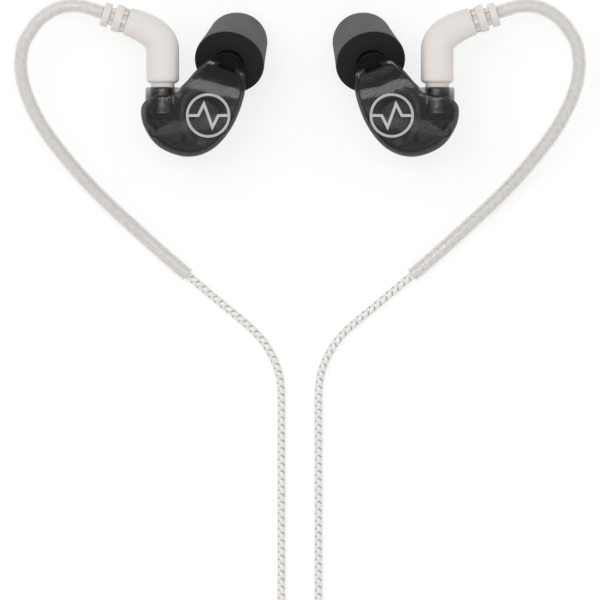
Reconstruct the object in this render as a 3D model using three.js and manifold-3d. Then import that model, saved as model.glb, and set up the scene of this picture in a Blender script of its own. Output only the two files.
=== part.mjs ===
// A pair of in-ear monitors on a detachable cable with formed ear hooks.
// Millimetres, +Z up. Everything lies on the plane z = 0, symmetric about x = 0 down to the slider.
// +Y runs towards the tops of the ear hooks, and the face plates look up.
import * as THREE from 'three';
import { mergeVertices } from 'three/addons/utils/BufferGeometryUtils.js';
import Module from 'manifold-3d';

const wasm = await Module();
wasm.setup();

// ---- driving dimensions -------------------------------------------------

// Place of each unit: the middle of its socket's mouth
const SOCKET_X = 25.9;
const SOCKET_Y = 9.86;
const SOCKET_Z = 12.6;

// Shell, in a unit's own frame: origin at the socket's mouth, +Y out of the socket,
// +X towards the other unit, +Z out of the face plate
const PLATE_TOP = 3.8;
const PLATE_THICK = 0.8;
const RIM_Z = 2.85;
const WALL = 0.9;
const BELLY_DEPTH = 8.2;
const NECK_DEPTH = 0.9;
const DEPTH_SLOPE = 0.66;
const NECK_REACH = 8;
const BOWL_CENTRE = new THREE.Vector2(6.3, -4.6);
const BOWL_PINCH = 0.36;
const MEAN_REACH = 8;
const RIM_INSET = 0.45;
const MARK_CENTRE = new THREE.Vector2(8.6, -5.4);
const MARK_RADIUS = 4.2;

// Sound nozzle: it leaves the shell's inner face at a slant
const NOZZLE_TILT = THREE.MathUtils.degToRad(32);
const NOZZLE_TURN = THREE.MathUtils.degToRad(20);
const NOZZLE_ROOT = new THREE.Vector3(11.8, 2.7, 2.85);
const STEM_R = 1.6;
const STEM_BORE = 0.95;
const STEM_TIP = 9.6;
const TIP_START = 4;
const TIP_LENGTH = 12.5;
const TIP_R = 6.7;
const TIP_FRONT_R = 5.75;
const TIP_SHOULDER = 4.2;
const CORE_R = 2.6;

// Socket and plug, along the unit's Y axis
const BOSS_R = 3.3;
const BOSS_LENGTH = 4.4;
const BOSS_BORE = 2.35;
const BARREL_R = 2.05;
const BARREL_BORE = 1.55;
const PLUG_R = 1.25;
const PLUG_BORE = 0.85;
const PLUG_DEPTH = 3.2;

// Elbow boot and strain relief
const LEG_R = 3.09;
const ARM_R = 2.54;
const NECK_R = 2.24;
const LEG_TOP = 7.1;
const ARM_END = new THREE.Vector2(-7.13, 12.6);
const ARM_DIR = new THREE.Vector2(-0.956, 0.292);
const RELIEF_R = 2.6;
const FLANGE_R = 2.3;
const RELIEF_LENGTH = 4.4;

// Cable
const HOOK_R = 1.37;
const LEAD_R = 0.75;
const MAIN_R = 1;
const LEAD_GAP = 0.3;
const TOUCH_GAP = 0.02;
const END_GAP = 0.1;
const SLIDER_Y = -92;
const SLIDER_LENGTH = 8;
const LEAD_LIFT = 1.05;
const LEAD_SPREAD = 3.52;
const LEADS_MEET_Y = -105.4;
const LEADS_MEET_STEP = 0.45;
const LEAD_COIL = { x: -10, y: -115, inner: 5.5, outer: 11.5, height: 3 };
const SPLIT_TOP = -125;
const SPLIT_LENGTH = 12;
const MAIN_COIL = { x: 13.5, y: -158, inner: 8.5, outer: 14.5, height: 8 };
const JACK_X = -17;
const JACK_Y = -183;
const JACK_Z = 3.3;

// Centreline of an ear hook, from the strain relief to its free end: [x, y, z]
const HOOK_ROUTE = [
  [37.25, 23.95, 12.6], [40.28, 24.95, 12.55], [42.56, 25.29, 12.44], [44.84, 25.05, 12.27],
  [47.2, 24.1, 11.99], [49.4, 22.42, 11.65], [50.92, 20.45, 11.32], [52.2, 18.2, 10.92],
  [52.74, 15.4, 10.36], [52.73, 13.02, 9.85], [52.3, 10.5, 9.29], [50.92, 6.6, 8.27],
  [48.26, 1.7, 6.81], [44.84, -2.85, 5.35], [40.85, -7.51, 3.99], [36.39, -12.07, 2.87],
  [31.45, -16.63, 2.02], [26.41, -21.19, 1.52], [21.3, -25.6, 1.37],
];

// Centreline of a lead, from the ear hook's end to the slider: [x, y, z]
const LEAD_ROUTE = [
  [21.0, -25.86, 1.37], [19.4, -27.2, 1.3], [17.77, -28.55, 1.2], [14.44, -31.35, 1.1],
  [10.93, -34.2, 1.05], [7.89, -37.05, 1.05], [5.89, -39.8, 1.05], [4.47, -42.75, 1.05],
  [3.74, -45.6, 1.05], [3.52, -48.7, 1.05], [3.52, -55, 1.05], [3.52, -65, 1.05],
  [3.52, -75, 1.05], [3.52, -85, 1.05], [3.52, -93, 1.05], [3.52, -100.3, 1.02],
  [2.9, -102.6, 0.95],
];

// Centreline of the main lead, from its coil to the plug's boot: [x, y, z]
const TAIL_ROUTE = [
  [0, -167, 6.8], [-0.4, -170.5, 6.1], [-1.7, -174.5, 5.3], [-4.1, -178.2, 4.5],
  [-7.6, -181.1, 3.8], [-11.8, -182.7, 3.4], [-16.7, -183, 3.3],
];

// ---- materials ----------------------------------------------------------

function material(color, roughness, metalness = 0) {
  return new THREE.MeshStandardMaterial({ color, roughness, metalness });
}

const FINISH = {
  smoke: () => material(0x2b2b2b, 0.12),
  silver: () => material(0xa5a6a7, 0.35, 0.6),
  foam: () => material(0x555555, 0.95),
  rubber: () => material(0x1c1c1c, 0.7),
  steel: () => material(0xb9babb, 0.3, 0.9),
  gold: () => material(0xc9a24e, 0.25, 1),
  frosted: () => material(0xe0dbd6, 0.45),
  clear: () => material(0xd9d4cf, 0.25),
  board: () => material(0x1f2622, 0.5),
  film: () => material(0xc8b48c, 0.4),
  insulator: () => material(0x1a1a1a, 0.5),
  redWire: () => material(0x7a2420, 0.5),
  darkWire: () => material(0x202124, 0.5),
  housing: () => material(0x242424, 0.45),
};

// ---- general helpers ----------------------------------------------------

// A closed copy with shared vertices and no triangle that has collapsed on an axis
function welded(geometry) {
  const bare = new THREE.BufferGeometry();
  bare.setAttribute('position', geometry.getAttribute('position').clone());
  if (geometry.index) bare.setIndex(geometry.index.clone());
  const merged = mergeVertices(bare, 1e-4);
  const source = merged.index.array;
  const kept = [];
  for (let i = 0; i < source.length; i += 3) {
    const [a, b, c] = [source[i], source[i + 1], source[i + 2]];
    if (a !== b && b !== c && c !== a) kept.push(a, b, c);
  }
  merged.setIndex(kept);
  return merged;
}

function toSolid(geometry) {
  if (geometry instanceof wasm.Manifold) return geometry;
  const closed = welded(geometry);
  const vertProperties = new Float32Array(closed.getAttribute('position').array);
  const triVerts = new Uint32Array(closed.index.array);
  return new wasm.Manifold(new wasm.Mesh({ numProp: 3, vertProperties, triVerts }));
}

function fromSolid(solid) {
  const mesh = solid.getMesh();
  const geometry = new THREE.BufferGeometry();
  geometry.setAttribute('position', new THREE.BufferAttribute(new Float32Array(mesh.vertProperties), 3));
  geometry.setIndex(new THREE.BufferAttribute(new Uint32Array(mesh.triVerts), 1));
  return geometry;
}

function join(first, ...others) {
  return others.reduce((sum, next) => sum.add(toSolid(next)), toSolid(first));
}

function carve(body, ...cutters) {
  return cutters.reduce((rest, next) => rest.subtract(toSolid(next)), toSolid(body));
}

function piece(name, shape, finish) {
  const geometry = shape instanceof wasm.Manifold ? fromSolid(shape) : welded(shape);
  geometry.computeVertexNormals();
  const mesh = new THREE.Mesh(geometry, finish);
  mesh.name = name;
  return mesh;
}

// A turned body about Y: points [radius, y], outer side upwards
function turned(points, segments = 12) {
  return new THREE.LatheGeometry(points.map(([r, y]) => new THREE.Vector2(r, y)), segments);
}

function rod(radius, from, to, segments = 12) {
  return turned([[0, from], [radius, from], [radius, to], [0, to]], segments);
}

function tube(radius, bore, from, to, segments = 12) {
  return turned([[bore, from], [radius, from], [radius, to], [bore, to], [bore, from]], segments);
}

// A round section swept along a route
function swept(route, radius, steps, sides = 8) {
  const curve = new THREE.CatmullRomCurve3(route.map(([x, y, z]) => new THREE.Vector3(x, y, z)));
  const section = new THREE.Shape();
  for (let i = 0; i < sides; i += 1) {
    const angle = (i / sides) * 2 * Math.PI;
    const corner = [radius * Math.cos(angle), radius * Math.sin(angle)];
    if (i === 0) section.moveTo(...corner);
    else section.lineTo(...corner);
  }
  return new THREE.ExtrudeGeometry(section, { extrudePath: curve, steps, bevelEnabled: false });
}

function slab(shape, thickness, bottom, bevel = 0, curveSegments = 6) {
  const geometry = new THREE.ExtrudeGeometry(shape, {
    depth: thickness - 2 * bevel,
    bevelEnabled: bevel > 0,
    bevelThickness: bevel,
    bevelSize: bevel,
    bevelOffset: -bevel,
    bevelSegments: 1,
    curveSegments,
  });
  return geometry.translate(0, 0, bottom + bevel);
}

function roundedRect(width, height, radius) {
  const [x, y] = [width / 2, height / 2];
  const shape = new THREE.Shape();
  shape.moveTo(-x + radius, -y);
  shape.lineTo(x - radius, -y);
  shape.absarc(x - radius, -y + radius, radius, -Math.PI / 2, 0);
  shape.lineTo(x, y - radius);
  shape.absarc(x - radius, y - radius, radius, 0, Math.PI / 2);
  shape.lineTo(-x + radius, y);
  shape.absarc(-x + radius, y - radius, radius, Math.PI / 2, Math.PI);
  shape.lineTo(-x, -y + radius);
  shape.absarc(-x + radius, -y + radius, radius, Math.PI, Math.PI * 1.5);
  return shape;
}

// Turns geometry made about Y so that Y points along a direction, then moves it
function aimed(geometry, origin, direction) {
  const turn = new THREE.Quaternion().setFromUnitVectors(new THREE.Vector3(0, 1, 0), direction);
  const place = new THREE.Matrix4().compose(origin, turn, new THREE.Vector3(1, 1, 1));
  return geometry.clone().applyMatrix4(place);
}

// ---- shell --------------------------------------------------------------

const NOZZLE_DIR = new THREE.Vector3(
  Math.sin(NOZZLE_TILT) * Math.sin(NOZZLE_TURN),
  Math.sin(NOZZLE_TILT) * Math.cos(NOZZLE_TURN),
  -Math.cos(NOZZLE_TILT),
);

function shellOutline() {
  const shape = new THREE.Shape();
  shape.moveTo(15.5, 2.75);
  shape.lineTo(8.8, 5.3);
  shape.splineThru([
    new THREE.Vector2(6.2, 3.05),
    new THREE.Vector2(4.1, 0.7),
    new THREE.Vector2(1.4, -1.25),
    new THREE.Vector2(-2.6, -1.8),
  ]);
  shape.splineThru([
    new THREE.Vector2(-4.1, -3.9),
    new THREE.Vector2(-3.5, -7.6),
    new THREE.Vector2(-0.6, -11.4),
    new THREE.Vector2(4.66, -13.2),
    new THREE.Vector2(9.5, -11.7),
    new THREE.Vector2(13.2, -7.4),
    new THREE.Vector2(15.4, -1.6),
    new THREE.Vector2(15.5, 2.75),
  ]);
  const points = shape.getPoints(3);
  points.pop();
  return points;
}

// The outline drawn in towards the middle of the bowl by about a distance
function smaller(points, distance) {
  const size = 1 - distance / MEAN_REACH;
  return points.map((point) => point.clone().sub(BOWL_CENTRE).multiplyScalar(size).add(BOWL_CENTRE));
}

// Depth of the shell under a point of its outline: shallow at the neck, full at the belly
function bowlDepth(x, y) {
  const reach = x * Math.sin(NOZZLE_TURN) + y * Math.cos(NOZZLE_TURN);
  return Math.min(BELLY_DEPTH, NECK_DEPTH + DEPTH_SLOPE * (NECK_REACH - reach));
}

// A bowl under an outline: straight walls that pull in towards a slanted floor
function bowl(points, top, thinner, steps = 4) {
  const geometry = new THREE.ExtrudeGeometry(new THREE.Shape(points), { depth: 1, steps, bevelEnabled: false });
  const position = geometry.getAttribute('position');
  for (let i = 0; i < position.count; i += 1) {
    const [x, y] = [position.getX(i), position.getY(i)];
    const down = 1 - position.getZ(i);
    const rim = (RIM_INSET / 10) * Math.max(0, 1 - down * steps);
    const size = 1 - BOWL_PINCH * down ** 3 - rim;
    const depth = Math.max(0.2, bowlDepth(x, y) - thinner);
    const nx = BOWL_CENTRE.x + (x - BOWL_CENTRE.x) * size;
    const ny = BOWL_CENTRE.y + (y - BOWL_CENTRE.y) * size;
    position.setXYZ(i, nx, ny, top - down * depth);
  }
  return geometry;
}

function shell() {
  const outline = shellOutline();
  const outer = bowl(outline, RIM_Z, 0);
  const boss = rod(BOSS_R, -BOSS_LENGTH, 0, 20);
  const bossTop = slab(roundedRect(8, 6, 0.5), 2, RIM_Z);
  const neck = aimed(turned([[0, -2.4], [3.3, -2.4], [2.7, 1.7], [0, 1.7]], 16), NOZZLE_ROOT, NOZZLE_DIR);
  const neckTop = slab(roundedRect(40, 40, 1), 6, RIM_Z);
  const body = join(outer, carve(boss, bossTop.translate(0, -4.5, 0)), carve(neck, neckTop));
  const cavity = join(bowl(smaller(outline, WALL), RIM_Z, WALL), slab(
    new THREE.Shape(smaller(outline, WALL + RIM_INSET)), 1, RIM_Z - 0.3,
  ));
  const socketHole = rod(BOSS_BORE, -5.2, 0.5, 20);
  const stemHole = aimed(rod(STEM_R + 0.3, -4, 3, 12), NOZZLE_ROOT, NOZZLE_DIR);
  return carve(body, cavity, socketHole, stemHole);
}

function facePlate() {
  return slab(new THREE.Shape(smaller(shellOutline(), 0.6)), PLATE_THICK, PLATE_TOP - PLATE_THICK, 0.25);
}

// A plain ring crossed by a pulse line
function faceMark() {
  const thickness = 0.15;
  const height = PLATE_TOP + 0.1;
  const ring = new THREE.Shape();
  ring.absarc(0, 0, MARK_RADIUS, 0, 2 * Math.PI);
  const hole = new THREE.Path();
  hole.absarc(0, 0, MARK_RADIUS - 0.4, 0, 2 * Math.PI, true);
  ring.holes.push(hole);
  const pulse = [[-3.95, 0], [-1.9, 0], [-0.8, 2.2], [0.8, -2.2], [1.9, 0], [3.95, 0]];
  const band = new THREE.Shape([
    ...pulse.map(([x, y]) => new THREE.Vector2(x, y - 0.24)),
    ...pulse.reverse().map(([x, y]) => new THREE.Vector2(x, y + 0.24)),
  ]);
  const layers = [slab(ring, thickness, height, 0, 12), slab(band, thickness, height)];
  return join(...layers.map((layer) => layer.translate(MARK_CENTRE.x, MARK_CENTRE.y, 0)));
}

// ---- nozzle and ear tip, about the nozzle's axis ------------------------

function nozzle() {
  const profile = [
    [STEM_BORE, 2.15], [2.9, 2.15], [2.9, 2.9], [STEM_R, 3.1], [STEM_R, 8.1], [1.75, 8.4],
    [1.45, STEM_TIP], [STEM_BORE, STEM_TIP], [STEM_BORE, 2.15],
  ];
  return turned(profile, 16);
}

function tipCore() {
  const profile = [
    [1.9, TIP_START], [CORE_R, TIP_START], [CORE_R, 13.6], [2, 13.8], [1.3, 13.8], [1.3, 9.9],
    [1.9, 9.9], [1.9, TIP_START],
  ];
  return turned(profile);
}

// A foam sleeve that tapers to a round shoulder, with a flat back
function foamTip() {
  const bore = CORE_R + 0.15;
  const end = TIP_START + TIP_LENGTH;
  const profile = [[bore, TIP_START], [TIP_R - 0.25, TIP_START], [TIP_R, TIP_START + 0.3]];
  for (let i = 0; i <= 4; i += 1) {
    const angle = (i / 6) * (Math.PI / 2);
    const radius = TIP_FRONT_R - TIP_SHOULDER * (1 - Math.cos(angle));
    profile.push([radius, end - TIP_SHOULDER * (1 - Math.sin(angle))]);
  }
  profile.push([bore, end - 0.1], [bore, TIP_START]);
  return turned(profile, 20);
}

// ---- drivers, board and wires -------------------------------------------

const DRIVER_CENTRE = new THREE.Vector3(7.8, -4.7, -0.15);

function driverPieces(side) {
  const can = turned([
    [0, -1.2], [3.2, -1.2], [3.2, 1.2], [2.5, 1.2], [2.5, 0.9], [2.85, 0.9], [2.85, -0.9], [0, -0.9],
  ], 16);
  const magnet = turned([[0, -0.7], [1.9, -0.7], [1.9, 0.1], [0, 0.1]]);
  const diaphragm = turned([
    [0, 0.5], [1.4, 0.35], [2.7, 0.5], [2.7, 0.65], [1.4, 0.5], [0, 0.65],
  ]);
  return [
    piece(`${side}_driver_can`, aimed(can, DRIVER_CENTRE, NOZZLE_DIR), FINISH.steel()),
    piece(`${side}_driver_magnet`, aimed(magnet, DRIVER_CENTRE, NOZZLE_DIR), FINISH.steel()),
    piece(`${side}_driver_diaphragm`, aimed(diaphragm, DRIVER_CENTRE, NOZZLE_DIR), FINISH.film()),
  ];
}

const ARMATURE_CENTRE = new THREE.Vector3(1.9, -8.95, 0.15);
const ARMATURE_TURN = THREE.MathUtils.degToRad(-24);

function armatureDriver() {
  const box = slab(roundedRect(4, 2.3, 0.3), 1.8, -0.9, 0.15, 2);
  const spout = rod(0.5, 0, 0.7, 12).rotateZ(-Math.PI / 2).translate(1.9, 0, 0.1);
  const place = new THREE.Matrix4().makeRotationZ(ARMATURE_TURN).setPosition(ARMATURE_CENTRE);
  return join(box.applyMatrix4(place), spout.applyMatrix4(place));
}

function soundTube() {
  return swept([
    [4.75, -10.2, 0.25], [5.4, -10.2, 0.6], [5.2, -9.5, 1.4], [4.2, -8, 1.85], [3.7, -5.4, 1.9],
    [4, -2.8, 1.8], [5.3, -1, 1.7], [7.3, -0.3, 1.7],
  ], 0.55, 16, 6);
}

function crossoverBoard() {
  const outline = [[-2.5, -6.2], [3.1, -6.2], [3.1, -2.8], [2.35, -2.8], [2.35, -5], [-2.5, -5]];
  return slab(new THREE.Shape(outline.map(([x, y]) => new THREE.Vector2(x, y))), 0.5, 0.6);
}

function wirePieces(side) {
  const red = [[-0.4, -6.5, 0.9], [0.4, -6.9, 1.4], [1.7, -6.9, 1.5], [2.6, -6.5, 1.3]];
  const dark = [[-1.7, -6.5, 0.9], [-1.6, -7.7, 1.4], [-0.4, -8.3, 1.75], [1.2, -8.1, 1.7], [2.5, -7.5, 1.5]];
  return [
    piece(`${side}_red_wire`, swept(red, 0.2, 7, 5), FINISH.redWire()),
    piece(`${side}_dark_wire`, swept(dark, 0.2, 8, 5), FINISH.darkWire()),
  ];
}

// ---- socket and plug, about the unit's Y axis ---------------------------

function socketBarrel() {
  const profile = [
    [BARREL_BORE, -4.5], [2.25, -4.9], [2.25, -4.5], [BARREL_R, -4.2], [BARREL_R, -0.2],
    [BARREL_BORE, -0.2], [BARREL_BORE, -4.5],
  ];
  return turned(profile, 16);
}

function socketInsulator() {
  return tube(1.4, 0.55, -4.4, -3.7);
}

function plugBarrel() {
  const profile = [
    [PLUG_BORE, -PLUG_DEPTH], [PLUG_R - 0.1, -PLUG_DEPTH], [PLUG_R, -3], [PLUG_R, -2.5],
    [1, -2.45], [1, -1.95], [PLUG_R, -1.9], [PLUG_R, 3], [PLUG_BORE, 3], [PLUG_BORE, -PLUG_DEPTH],
  ];
  return turned(profile);
}

// An open ring of spring wire in the plug's groove
function snapRing() {
  const shape = new THREE.Shape();
  const opening = THREE.MathUtils.degToRad(25);
  shape.absarc(0, 0, 1.42, opening, 2 * Math.PI - opening);
  shape.absarc(0, 0, 1.12, 2 * Math.PI - opening, opening, true);
  return slab(shape, 0.26, -0.13, 0, 7).rotateX(Math.PI / 2).translate(0, -2.2, 0);
}

function plugPin() {
  return turned([[0, -3.6], [0.15, -3.6], [0.35, -3.3], [0.35, 2.8], [0, 2.8]], 12);
}

// ---- elbow boot, strain relief and ear hook -----------------------------

function elbowBoot() {
  const leg = turned([
    [0, 0.3], [NECK_R - 0.2, 0.3], [NECK_R, 0.4], [NECK_R, 0.78], [LEG_R - 0.45, 0.78],
    [LEG_R, 1.2], [LEG_R, LEG_TOP], [0, LEG_TOP],
  ], 20);
  const corner = new THREE.Vector3(0, ARM_END.y + (ARM_END.x * ARM_DIR.y) / -ARM_DIR.x, 0);
  const bend = new THREE.QuadraticBezierCurve3(
    new THREE.Vector3(0, LEG_TOP - 0.05, 0),
    corner,
    new THREE.Vector3(ARM_END.x, ARM_END.y, 0),
  );
  const section = new THREE.Shape();
  section.absarc(0, 0, LEG_R, 0, 2 * Math.PI);
  const steps = 7;
  const arm = new THREE.ExtrudeGeometry(section, {
    extrudePath: bend, steps, bevelEnabled: false, curveSegments: 10,
  });
  const rings = bend.getSpacedPoints(steps);
  const position = arm.getAttribute('position');
  const point = new THREE.Vector3();
  for (let i = 0; i < position.count; i += 1) {
    point.fromBufferAttribute(position, i);
    const distances = rings.map((centre) => Math.abs(centre.distanceTo(point) - LEG_R));
    const ring = distances.indexOf(Math.min(...distances));
    const size = THREE.MathUtils.lerp(1, ARM_R / LEG_R, ring / steps);
    point.sub(rings[ring]).multiplyScalar(size).add(rings[ring]);
    position.setXYZ(i, point.x, point.y, point.z);
  }
  return carve(join(leg, arm), rod(PLUG_R + 0.3, -1, 3.4));
}

function strainRelief() {
  const ring = 2.1;
  const flange = RELIEF_LENGTH - 1.35;
  const profile = [
    [0, 0.3], [RELIEF_R - 0.2, 0.3], [RELIEF_R, 0.5], [RELIEF_R, ring], [1.95, ring], [1.85, flange],
    [FLANGE_R, flange], [FLANGE_R, RELIEF_LENGTH - 0.2], [FLANGE_R - 0.2, RELIEF_LENGTH],
    [0, RELIEF_LENGTH],
  ];
  const origin = new THREE.Vector3(ARM_END.x, ARM_END.y, 0);
  return aimed(turned(profile, 16), origin, new THREE.Vector3(ARM_DIR.x, ARM_DIR.y, 0));
}

// ---- one unit and its half of the cable ---------------------------------

function unitPieces(side) {
  const unit = new THREE.Group();
  const inner = [
    piece(`${side}_shell`, shell(), FINISH.smoke()),
    piece(`${side}_face_plate`, facePlate(), FINISH.smoke()),
    piece(`${side}_face_mark`, faceMark(), FINISH.silver()),
    ...driverPieces(side),
    piece(`${side}_armature_driver`, armatureDriver(), FINISH.steel()),
    piece(`${side}_sound_tube`, soundTube(), FINISH.clear()),
    piece(`${side}_crossover_board`, crossoverBoard(), FINISH.board()),
    ...wirePieces(side),
    piece(`${side}_socket_barrel`, socketBarrel(), FINISH.steel()),
    piece(`${side}_socket_insulator`, socketInsulator(), FINISH.insulator()),
  ];
  const onNozzle = new THREE.Group();
  onNozzle.position.copy(NOZZLE_ROOT);
  onNozzle.quaternion.setFromUnitVectors(new THREE.Vector3(0, 1, 0), NOZZLE_DIR);
  onNozzle.add(
    piece(`${side}_nozzle`, nozzle(), FINISH.rubber()),
    piece(`${side}_nozzle_filter`, rod(0.75, 9.1, 9.4, 12), FINISH.steel()),
    piece(`${side}_tip_core`, tipCore(), FINISH.rubber()),
    piece(`${side}_foam_tip`, foamTip(), FINISH.foam()),
  );
  const cable = [
    piece(`${side}_plug_barrel`, plugBarrel(), FINISH.gold()),
    piece(`${side}_snap_ring`, snapRing(), FINISH.steel()),
    piece(`${side}_plug_pin`, plugPin(), FINISH.gold()),
    piece(`${side}_elbow_boot`, elbowBoot(), FINISH.frosted()),
    piece(`${side}_strain_relief`, strainRelief(), FINISH.frosted()),
  ];
  unit.add(...inner, onNozzle, ...cable);
  return unit;
}

function earHook(side) {
  return piece(`${side}_hook_tube`, swept(HOOK_ROUTE, HOOK_R, 24, 12), FINISH.clear());
}

// The last points bring a lead beside its neighbour and stop it against the coil
function lead(side, sign) {
  const target = sign * (LEAD_R + TOUCH_GAP);
  const reach = Math.abs(target - LEAD_COIL.x);
  const edge = LEAD_COIL.outer + LEAD_R + LEAD_GAP;
  const stop = LEAD_COIL.y + Math.sqrt(edge ** 2 - reach ** 2) + END_GAP;
  const route = LEAD_ROUTE.map(([x, y, z]) => [sign * x, y, z]);
  route.push([target + sign * LEADS_MEET_STEP, LEADS_MEET_Y, LEAD_R], [target, stop, LEAD_R]);
  return piece(`${side}_lead`, swept(route, LEAD_R, 26), FINISH.clear());
}

function coilRing(name, coil) {
  const edge = 0.4;
  const ring = turned([
    [coil.inner, 0], [coil.outer - edge, 0], [coil.outer, edge], [coil.outer, coil.height - edge],
    [coil.outer - edge, coil.height], [coil.inner, coil.height], [coil.inner, 0],
  ], 24);
  return piece(name, ring.rotateX(Math.PI / 2).translate(coil.x, coil.y, 0), FINISH.clear());
}

// ---- pieces that both halves share --------------------------------------

function chinSlider() {
  const middle = SLIDER_Y - SLIDER_LENGTH / 2;
  const outline = roundedRect(2 * LEAD_SPREAD + 3.8, SLIDER_LENGTH, 1.6);
  const body = slab(outline, 2.3, 0, 0.3, 4).translate(0, middle, 0);
  const holes = [-1, 1].map((sign) => rod(LEAD_R + 0.2, -SLIDER_LENGTH, SLIDER_LENGTH, 12)
    .translate(sign * LEAD_SPREAD, middle, LEAD_LIFT + TOUCH_GAP));
  return carve(body, ...holes);
}

function cableSplit() {
  const shape = new THREE.Shape();
  shape.moveTo(-2.4, 0);
  shape.lineTo(-2.4, -6);
  shape.quadraticCurveTo(-2.4, -9, -1.7, -SPLIT_LENGTH);
  shape.lineTo(1.7, -SPLIT_LENGTH);
  shape.quadraticCurveTo(2.4, -9, 2.4, -6);
  shape.lineTo(2.4, 0);
  return slab(shape, 3, 0, 0.35, 4).translate(0, SPLIT_TOP, 0);
}

function mainLead() {
  const top = SPLIT_TOP - SPLIT_LENGTH - LEAD_GAP;
  const edge = MAIN_COIL.outer + MAIN_R + LEAD_GAP;
  const stop = MAIN_COIL.y + Math.sqrt(edge ** 2 - MAIN_COIL.x ** 2) + END_GAP;
  return swept([[0, top, MAIN_R], [0, (top + stop) / 2, MAIN_R], [0, stop, MAIN_R]], MAIN_R, 4);
}

// The stereo plug, made about Y from its boot to its tip, then laid along -X
function jackPieces() {
  const profiles = {
    jack_boot: [[0, 0], [1.7, 0], [2.5, 7.6], [0, 7.6]],
    jack_grip: [
      [0, 7.9], [2.9, 7.9], [3.3, 8.6], [3.3, 20.6], [3, 21.4], [2.2, 21.8], [0, 21.8],
    ],
    jack_sleeve: [[1.15, 22.1], [1.75, 22.1], [1.75, 28.2], [1.15, 28.2], [1.15, 22.1]],
    jack_ring: [[1.15, 29], [1.75, 29], [1.75, 30.9], [1.15, 30.9], [1.15, 29]],
    jack_insulator: [
      [0.8, 22.2], [1.05, 22.2], [1.05, 28.3], [1.72, 28.3], [1.72, 28.9], [1.05, 28.9],
      [1.05, 31], [1.72, 31], [1.72, 31.6], [0.8, 31.6], [0.8, 22.2],
    ],
    jack_tip: [
      [0, 22.3], [0.7, 22.3], [0.7, 31.7], [1.75, 31.7], [1.2, 33], [1.72, 34.3], [1.1, 35.6],
      [0.4, 36.1], [0, 36.1],
    ],
  };
  const finish = {
    jack_boot: FINISH.frosted(),
    jack_grip: FINISH.housing(),
    jack_sleeve: FINISH.gold(),
    jack_ring: FINISH.gold(),
    jack_insulator: FINISH.insulator(),
    jack_tip: FINISH.gold(),
  };
  const group = new THREE.Group();
  group.position.set(JACK_X, JACK_Y, JACK_Z);
  group.rotation.z = Math.PI / 2;
  for (const [name, profile] of Object.entries(profiles)) {
    group.add(piece(name, turned(profile), finish[name]));
  }
  return group;
}

// ---- the whole object ---------------------------------------------------

const group = new THREE.Group();
for (const [side, sign] of [['left', -1], ['right', 1]]) {
  const unit = unitPieces(side);
  unit.position.set(sign * SOCKET_X, SOCKET_Y, SOCKET_Z);
  unit.scale.x = -sign;
  const hook = earHook(side);
  hook.scale.x = sign;
  group.add(unit, hook, lead(side, sign));
}
group.add(
  piece('chin_slider', chinSlider(), FINISH.frosted()),
  coilRing('lead_coil', LEAD_COIL),
  piece('cable_split', cableSplit(), FINISH.frosted()),
  piece('main_lead', mainLead(), FINISH.clear()),
  coilRing('main_coil', MAIN_COIL),
  piece('main_tail', swept(TAIL_ROUTE, MAIN_R, 12), FINISH.clear()),
  jackPieces(),
);

export default group;
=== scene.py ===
import math

import bmesh
import bpy
import numpy as np
from mathutils import Matrix, Vector


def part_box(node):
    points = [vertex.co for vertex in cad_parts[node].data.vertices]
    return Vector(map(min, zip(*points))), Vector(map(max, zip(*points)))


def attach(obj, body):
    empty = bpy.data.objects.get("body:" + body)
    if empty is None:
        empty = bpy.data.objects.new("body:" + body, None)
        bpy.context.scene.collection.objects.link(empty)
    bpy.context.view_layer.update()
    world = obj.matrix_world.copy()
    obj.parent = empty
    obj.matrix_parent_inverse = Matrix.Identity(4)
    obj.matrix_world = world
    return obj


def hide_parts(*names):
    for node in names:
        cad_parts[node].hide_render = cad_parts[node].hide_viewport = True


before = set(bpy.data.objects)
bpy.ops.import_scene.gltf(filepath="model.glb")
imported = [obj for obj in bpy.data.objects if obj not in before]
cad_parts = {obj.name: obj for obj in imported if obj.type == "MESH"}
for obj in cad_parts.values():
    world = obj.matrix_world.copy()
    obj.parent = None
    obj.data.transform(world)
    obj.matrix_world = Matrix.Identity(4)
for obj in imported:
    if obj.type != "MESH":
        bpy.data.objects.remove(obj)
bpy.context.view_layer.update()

bl_info = {
    "name": "In-ear monitors",
    "version": (1, 0, 0),
    "blender": (4, 5, 0),
    "location": "3D View > Sidebar > Monitors",
    "description": "Builds a pair of see-through in-ear monitors with a braided cable round their CAD frame",
    "category": "Object",
}

# Everything below is in metres. MM turns millimetres into metres.
MM = 0.001
SIDES = (("left", -1), ("right", 1))
SOCKET = Vector((0.0259, 0.00986, 0.0126))
# How far the crossing strands are turned round a cord, as a share of a turn.
BRAID_TURN = -0.06
# Lays a turned body along Y, the way that the sockets, the holes of the slider and the split point.
ALONG_Y = Matrix.Rotation(-math.pi / 2, 4, "X")

# ---- routes of the cable, centrelines in metres: x from the middle plane ----

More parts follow.
